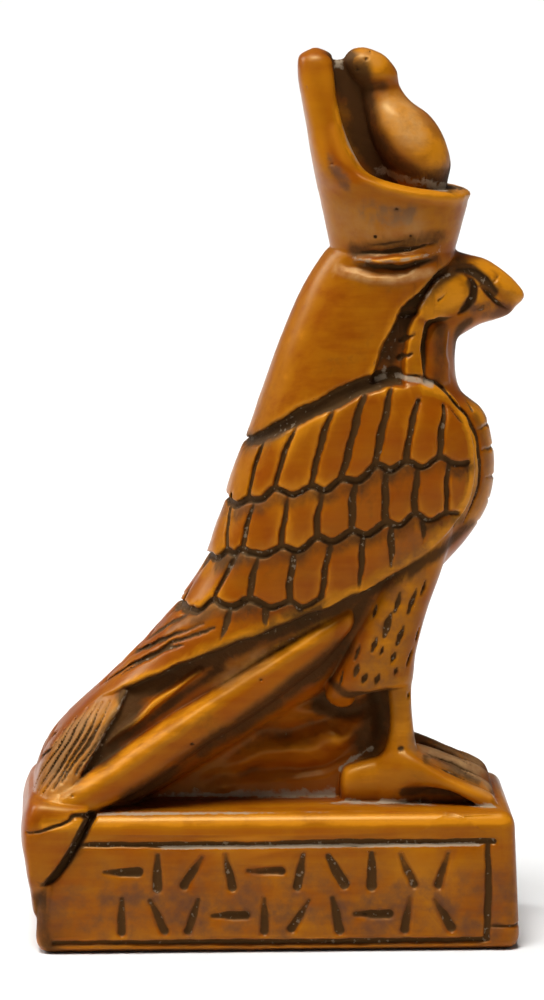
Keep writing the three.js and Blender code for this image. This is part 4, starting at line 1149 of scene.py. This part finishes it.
# paler amber where the wash was rubbed off, and painted highlights on edges, rims, beak, face and bulb
PALES_AND_HIGHLIGHTS = [
    ([[0, -9], [63, -9]], 15, 0.6, 0, 15),
    ([[48.2, 15], [48.2, 6], [43, 2.5]], 3.6, 1.1, 3.2, 12),
    ([[50, 5], [60.5, 2]], 3, 0.9, 6, 12),
    ([[59.5, 71.2], [61.5, 70], [64.2, 67.4]], 2.4, 2),
    ([[38, 24.4], [28, 18.4], [16, 10], [6, 3.6], [2, 1.4]], 2, 1.5, 5, 13),
    ([[47.4, 91.4], [50, 88.4], [52, 86.4]], 3.6, 2, 0, 6.5),
    ([[42.8, 98.6], [45, 97.8]], 2.4, 1.8, 0, 6),
    ([[40, 92], [41.6, 86.6], [45, 83.6], [50, 82], [56.4, 81]], 1.3, 1.9),
    ([[8, 12], [2, 4]], 5, 0.9, 5, 13),
    ([[38, 79], [47, 77.5], [56, 78.5]], 7, 0.7),
    ([[52.4, 67], [55, 68]], 3, 2),
    ([[50, 63.5], [49.8, 58]], 1.2, 1.2),
    ([[1, -0.9], [63, -0.9]], 1.2, 1.9, 11.9, 15.5),
    ([[51, 56.2], [54.7, 54.4], [56.8, 51.2], [57.7, 46.7], [57.2, 42.2], [55.2, 38.4]],
     1, 2.1, 5, 12),
    ([[55.2, 38.4], [51.3, 34.8], [46.9, 32], [41, 29], [35.2, 26.7], [29.8, 24.4],
      [21, 21]], 1, 1.5, 5, 12),
    ([[48.5, 31], [46.6, 24], [45, 17]], 4.5, 1, 3.4, 12),
    ([[6, 0.3], [63, 0.3]], 2, 0.9, 6.5, 15.5),
    ([[43, 68], [38, 58], [33, 52]], 11, 0.65),
    ([[36.5, 98], [36.5, 90], [38, 82]], 3.2, 0.7),
    ([[58.4, 54], [60.8, 48], [60.6, 42], [58.2, 37.6]], 2.4, 1.3, 0, 9.4),
    ([[39, 73], [36.9, 68.4], [33.5, 60.6], [30.6, 52.7], [26.4, 41.8], [22.2, 31.9]],
     3, 0.9, 0, 8),
]
# pale patches, mostly painted highlights on the bulb, the bar, the toes and under the lens
BLOOMS_AND_HIGHLIGHTS = [
    ([[50.6, 8], [54, 6], [58.4, 3.6]], 1.8, 0.65, 0, 6.4),
    ([[11.8, 15.2], [9.6, 12], [7.8, 9], [5.9, 6.4]], 0.5, 0.9),
    ([[46.8, 92.2], [48.2, 91], [49.6, 89.2]], 2.8, 0.8, 0, 7),
    ([[43.4, 99], [44.6, 98.6]], 1.2, 0.4, 0, 7),
    ([[39.6, 71.4], [43, 70.5], [47, 70.2], [51.8, 71]], 0.8, 0.9),
    ([[41, 77.4], [49, 76.8]], 3.4, 0.3),
    ([[57.4, 3.8], [60, 2.2]], 1.2, 0.6, 6, 12),
    ([[24.6, 16.8], [27.6, 18.6], [30, 20.1]], 1.3, 0.5, 4, 12),
    ([[7, 11], [3, 6]], 3.6, 0.35, 5, 13),
    ([[58.3, 46], [57.6, 41.4], [55.4, 37.6]], 0.7, 0.35, 5, 12),
]
RESIDUES = [
    ([[16, 0.3, 3], [22, 0.4, 3.1], [30, 0.4, 3.1], [38.5, 0.4, 3.2]], 0.55, 1, 0, 15),
    ([[6.6, -0.1, 12], [8.8, 0.1, 11], [12.5, 0.6, 9.5], [14.5, 0.5, 7], [16, 0.3, 4]],
     0.6, 1, 0, 15),
    ([[38.2, 0.8, 3.2], [39, 0.5, 3.4]], 1, 1, 0, 15),
    ([[40.2, 0.3, 6.2], [42.8, 0.2, 6.6], [46, 0.2, 6.8], [50.6, 0.2, 7], [53.4, 0.1, 7.5],
      [55.2, 0.1, 8.2], [58.6, 0.1, 9.5], [60.4, 0.2, 10]], 0.55, 1, 0, 15),
    ([[40.3, 3.8, 3.4], [41.6, 4.8, 3.2], [42.9, 5.8, 3], [44.4, 6.5, 2.9]], 0.6, 0.8, 0, 15),
    ([[41.8, 72.7], [44.5, 72.6], [48, 72.7], [51, 73.2], [53, 73.6]], 0.5, 0.55),
    ([[54.3, 81.9], [55.5, 81.6], [56.8, 81.2]], 0.7, 0.4),
    ([[40, 98], [40.3, 95], [40.6, 91.7], [41.3, 88.3], [42.8, 85.5], [45.4, 83.9],
      [49.3, 82.7], [53.6, 81.9]], 0.9, 0.8, 0, 6),
    ([[16.0, FRAME_TOP - 0.4], [58.5, FRAME_TOP - 0.3]], 0.35, 0.9, 0, 15),
    ([[44.8, 56.9], [46.4, 57.4], [48.6, 57.2], [50.4, 56.8], [52, 56.2]], 0.6, 0.8),
    ([[11.8, 15.4], [10.6, 13], [8.2, 8.9], [6.2, 5.4]], 0.45, 0.5),
    ([[50.4, 66.2], [51.6, 68.2], [52.8, 69.7], [54.4, 70.4]], 0.4, 0.5),
    ([[48.8, 65.2], [47.4, 62.8], [46.4, 60], [45.6, 57.6]], 0.4, 0.5),
]
# below each row of scallops a soft dark band of painted shade
SEAM_DROP = 0.9
SEAM_SHADE = (1.6, 0.58, 5, 14)
for seam in seams:
    STAINS_AND_SHADE.append(([[x, z - SEAM_DROP] for x, z in seam], *SEAM_SHADE))
STROKE_FADE = 1.2    # a stroke thins out to nothing at so many times its reach
STROKE_BODY = 1.15    # above 1, so that a stroke's middle is evenly full
SIDE_FADE = 0.5    # it is gone this far past either end of its range of y


def brushed(strokes):
    """How much of each vertex's place such strokes cover. Points with a y are in space."""
    cover = np.zeros(len(bird_x))
    out = np.abs(bird_y)
    for points, reach, strength, *side in strokes:
        low_y, high_y = side or WHOLE_SIDE
        path = smooth(points, 3) if len(points) > 2 else np.array(points, float)
        place = np.stack([bird_x, bird_z, out], 1)[:, :path.shape[1]]
        gap = np.full(len(bird_x), FAR)
        for a, b in zip(path[:-1], path[1:]):
            run = b - a
            along = np.clip(((place - a) @ run) / (run @ run), 0, 1)
            gap = np.minimum(gap, np.sqrt(((place - a - along[:, None] * run) ** 2).sum(1)))
        soft = strength * ease(STROKE_BODY * (1 - gap / (STROKE_FADE * reach)))
        soft *= ease((out - low_y) / SIDE_FADE + 1) * ease((high_y - out) / SIDE_FADE + 1)
        cover = np.maximum(cover, soft)
    return cover


for name, strokes in (("stain_and_shade", STAINS_AND_SHADE), ("film", FILMS), ("pale", PALES_AND_HIGHLIGHTS), ("bloom_and_highlight", BLOOMS_AND_HIGHLIGHTS),
                      ("residue", RESIDUES)):
    write(name, brushed(strokes))

# Amber resin
# Ochre casting resin with a satin gloss, lighter where it was rubbed and with painted
# highlights on edges and bulges, and painted shade in its hollows. A dark brown wash fills
# what is carved and is painted as shade into recesses, a thin film lies on some faces,
# pale patches of painted highlight lie on others, and pale residue sits in the deepest lines.
AMBER = (0.245, 0.045, 0.0004, 1)
# darker amber, for tone that differs at random and for painted shade in hollows
AMBER_DEEP = (0.205, 0.035, 0.0003, 1)
# painted highlight colour, for edges, bulges and the strongest pale strokes
AMBER_LIGHT = (0.56, 0.20, 0.006, 1)
# paler amber where rubbed clean and where highlights are painted
AMBER_PALE = (0.335, 0.105, 0.0015, 1)
FILM = (0.125, 0.044, 0.019, 1)
# the dark wash, and the colour of the shade painted into recesses
PATINA_AND_SHADE = (0.034, 0.0125, 0.004, 1)
# painted shade, darkest deep in hollows, over the wash
PAINTED_DEEP_SHADE = (0.014, 0.006, 0.003, 1)
PATINA_THIN = (0.056, 0.021, 0.005, 1)
# colour of the pale patches that are mostly painted highlights
BLOOM_AND_HIGHLIGHT = (0.55, 0.32, 0.13, 1)
RESIDUE = (0.34, 0.26, 0.18, 1)
# sizes of what varies over the resin, in millimetres
TONE_SIZE = 14
CLOUD_SIZE = 5
SMEAR_SIZE = 2.6
RIPPLE_SIZE = 2.2
STREAK_SIZE = 1.6
GRAIN_SIZE = 0.9
SPECK_SIZE = 0.6
BUMP_DEPTH = 0.25
# how long the streaks are for their width, and how much each wash and the painted highlights cover
STREAK_STRETCH = 9
BLOOM_AND_HIGHLIGHT_STRENGTH = 0.5
STAIN_AND_SHADE_STRENGTH = 0.9
SPECK_STRENGTH = 0.4
RESIDUE_STRENGTH = 0.85
GLOSSY = 0.32    # roughness of the bare resin, and of wash and residue
MATT = 0.7

resin = bpy.data.materials.new("amber_resin")
resin.use_nodes = True
nodes, links = resin.node_tree.nodes, resin.node_tree.links
skin = nodes["Principled BSDF"]
place_on = nodes.new("ShaderNodeTexCoord").outputs["Object"]


def feed(socket, value):
    if isinstance(value, bpy.types.NodeSocket):
        links.new(value, socket)
    else:
        socket.default_value = value


def maths(operation, *values, clamp=False):
    node = nodes.new("ShaderNodeMath")
    node.operation = operation
    node.use_clamp = clamp
    for socket, value in zip(node.inputs, values):
        feed(socket, value)
    return node.outputs[0]


def remap(value, low_end, high_end, to_low=0.0, to_high=1.0):
    node = nodes.new("ShaderNodeMapRange")
    node.interpolation_type = "SMOOTHSTEP"
    for name, number in (("Value", value), ("From Min", low_end), ("From Max", high_end),
                         ("To Min", to_low), ("To Max", to_high)):
        feed(node.inputs[name], number)
    return node.outputs["Result"]


def noise(size_mm, detail=3.0, roughness=0.55, stretch=1.0):
    node = nodes.new("ShaderNodeTexNoise")
    node.inputs["Scale"].default_value = 1 / (size_mm * MM)
    node.inputs["Detail"].default_value = detail
    node.inputs["Roughness"].default_value = roughness
    squeeze = nodes.new("ShaderNodeVectorMath")
    squeeze.operation = "MULTIPLY"
    squeeze.inputs[1].default_value = (1 / stretch, 1, 1)
    links.new(place_on, squeeze.inputs[0])
    links.new(squeeze.outputs["Vector"], node.inputs["Vector"])
    return node.outputs["Fac"]


def times(first, second, plus=0.0):
    return maths("MULTIPLY_ADD", first, second, plus)


def waver(size_mm, detail, roughness, stretch=1.0):
    """Noise about zero."""
    return maths("SUBTRACT", noise(size_mm, detail, roughness, stretch), 0.5)


def blend(factor, first, second):
    node = nodes.new("ShaderNodeMix")
    node.data_type = "RGBA"
    feed(node.inputs["Factor"], factor)
    feed(node.inputs["A"], first)
    feed(node.inputs["B"], second)
    return node.outputs["Result"]


def attribute(name):
    node = nodes.new("ShaderNodeAttribute")
    node.attribute_name = name
    return node.outputs["Fac"]


fine = attribute("fine_hollow")
broad = attribute("broad_hollow")
cut = attribute("engraving")
grain = waver(GRAIN_SIZE, 4, 0.65)
clouds = waver(CLOUD_SIZE, 4, 0.6)
patchy = times(clouds, 1.8, 1.0)
streaks = times(waver(STREAK_SIZE, 3, 0.6, STREAK_STRETCH), 1.8, patchy)
smears = times(waver(SMEAR_SIZE, 4, 0.6), 4.0, 1.0)

# the amber: darker at random and with painted shade in hollows, paler where rubbed and where
# highlights are painted, with a painted highlight on edges and bulges
shade = blend(remap(noise(TONE_SIZE, 3), 0.35, 0.65), AMBER, AMBER_DEEP)
rubbed_and_highlit = times(streaks, attribute("pale"))
shade = blend(remap(rubbed_and_highlit, 0.0, 1.0), shade, AMBER_PALE)
# painted shade: darker amber in hollows
shade = blend(remap(broad, 0.02, 0.3), shade, AMBER_DEEP)
# painted highlight on convex edges and bulges
edge = remap(times(fine, 0.8, broad), -0.12, -0.6)
shade = blend(maths("MAXIMUM", edge, remap(rubbed_and_highlit, 0.9, 2.1)), shade, AMBER_LIGHT)

# film lies on it in smears, and so do pale patches that are mostly painted highlights
film = remap(times(smears, attribute("film")), 0.1, 0.9)
shade = blend(film, shade, FILM)
bloom_and_highlight = times(attribute("bloom_and_highlight"), BLOOM_AND_HIGHLIGHT_STRENGTH)
shade = blend(maths("MULTIPLY", smears, bloom_and_highlight, clamp=True), shade, BLOOM_AND_HIGHLIGHT)

# the wash: thin in every groove and thicker where it was brushed on; the stain strokes also paint
# shade into recesses
stain_and_shade = times(times(grain, 0.5, patchy), attribute("stain_and_shade"))
stain_and_shade = remap(stain_and_shade, 0.1, 0.9)
depth = times(cut, 1.1, times(fine, 1.3))
depth = times(broad, 0.45, depth)
depth = times(grain, 0.45, depth)
settled = remap(times(clouds, 0.25, depth), 0.06, 0.66)
shade = blend(settled, shade, PATINA_THIN)
shade = blend(times(stain_and_shade, STAIN_AND_SHADE_STRENGTH), shade, PATINA_AND_SHADE)
# painted shade, darkest in deep hollows
shade = blend(remap(broad, 0.3, 0.75, 0.0, 0.8), shade, PAINTED_DEEP_SHADE)
patina_and_shade = maths("MAXIMUM", settled, stain_and_shade)

# residue: specks of it in the deepest grooves, and crusts where strokes of it dried
specks = times(clouds, 0.4, noise(SPECK_SIZE, 2, 0.5))
speck = times(remap(specks, 0.62, 0.72), remap(depth, 0.3, 0.6))
speck = times(speck, SPECK_STRENGTH)
dried = remap(times(grain, 1.2, attribute("residue")), 0.35, 0.75)
residue = maths("MAXIMUM", speck, times(dried, RESIDUE_STRENGTH))
shade = blend(residue, shade, RESIDUE)
links.new(shade, skin.inputs["Base Color"])

# wash and residue are matt and rough, bare resin is smooth with a faint ripple
matt = maths("ADD", film, maths("ADD", patina_and_shade, residue))
rough = times(grain, 0.12, remap(matt, 0.0, 1.2, GLOSSY, MATT))
links.new(rough, skin.inputs["Roughness"])
skin.inputs["Specular IOR Level"].default_value = 0.4
skin.inputs["IOR"].default_value = 1.35
skin.inputs["Specular Tint"].default_value = (1.0, 0.8, 0.36, 1)
bump = nodes.new("ShaderNodeBump")
bump.inputs["Distance"].default_value = BUMP_DEPTH * MM
bump.inputs["Strength"].default_value = 0.5
height = times(grain, times(patina_and_shade, 0.9, 0.03))
height = times(noise(RIPPLE_SIZE, 2), 0.04, height)
links.new(height, bump.inputs["Height"])
links.new(bump.outputs["Normal"], skin.inputs["Normal"])
mesh.materials.append(resin)

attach(figure, "root")
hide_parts("falcon_figure")

# Studio
# A white paper floor under a wide soft box overhead. A still wider one shows only as sheen
# on the resin, and a weak one hangs behind the falcon's left shoulder. The room itself is
# dim, so that the resin keeps its colour.
FLOOR_REACH = 3.0
floor_mesh = bpy.data.meshes.new("pale_floor")
floor_corners = [(FLOOR_REACH * x, FLOOR_REACH * y, 0)
                 for x, y in ((-1, -1), (1, -1), (1, 1), (-1, 1))]
floor_mesh.from_pydata(floor_corners, [], [(0, 1, 2, 3)])
floor = bpy.data.objects.new("pale_floor", floor_mesh)
bpy.context.scene.collection.objects.link(floor)
paper = bpy.data.materials.new("white_paper")
paper.use_nodes = True
paper_skin = paper.node_tree.nodes["Principled BSDF"]
paper_skin.inputs["Base Color"].default_value = (0.80, 0.80, 0.79, 1)
paper_skin.inputs["Roughness"].default_value = 0.9
floor_mesh.materials.append(paper)

world = bpy.data.worlds.new("dim_room")
world.use_nodes = True
room = world.node_tree.nodes["Background"]
room.inputs["Color"].default_value = (1, 1, 1, 1)
room.inputs["Strength"].default_value = 0.09
bpy.context.scene.world = world
bpy.context.scene.view_settings.view_transform = "Standard"
MIDDLE = Vector((0, 0, 0.055))


def aim(lamp, spot):
    """Hangs a lamp at a spot, facing the middle of the figure."""
    holder = bpy.data.objects.new(lamp.name, lamp)
    holder.location = spot
    holder.rotation_mode = "QUATERNION"
    holder.rotation_quaternion = (MIDDLE - Vector(spot)).to_track_quat("-Z", "Y")
    bpy.context.scene.collection.objects.link(holder)
    return holder


overhead = bpy.data.lights.new("overhead_softbox", "SUN")
overhead.angle = math.radians(25)
overhead.energy = 3.85
aim(overhead, (-0.16, -0.30, 1.2))
sheen = bpy.data.lights.new("sheen_softbox", "SUN")
sheen.angle = math.radians(50)
sheen.energy = 3.4
aim(sheen, (-0.35, -0.15, 1.2)).visible_diffuse = False
shoulder = bpy.data.lights.new("shoulder_softbox", "AREA")
shoulder.size = 0.4
shoulder.energy = 4.5
aim(shoulder, (-0.75, 0.30, 0.60))

CAMERA_TARGET = Vector((-0.4, 0.0, 54.7)) * MM
CAMERA_DISTANCE = 600 * MM
CAMERA_AZIMUTH = math.radians(-2)
CAMERA_ELEVATION = math.radians(10)
back = Vector((math.sin(CAMERA_AZIMUTH) * math.cos(CAMERA_ELEVATION),
               -math.cos(CAMERA_AZIMUTH) * math.cos(CAMERA_ELEVATION),
               math.sin(CAMERA_ELEVATION)))
view = bpy.data.cameras.new("photo_view")
view.sensor_width = 36
view.lens = 174.4
camera = bpy.data.objects.new("photo_view", view)
camera.location = CAMERA_TARGET + back * CAMERA_DISTANCE
camera.rotation_mode = "QUATERNION"
camera.rotation_quaternion = (-back).to_track_quat("-Z", "Y")
bpy.context.scene.collection.objects.link(camera)
bpy.context.scene.camera = camera
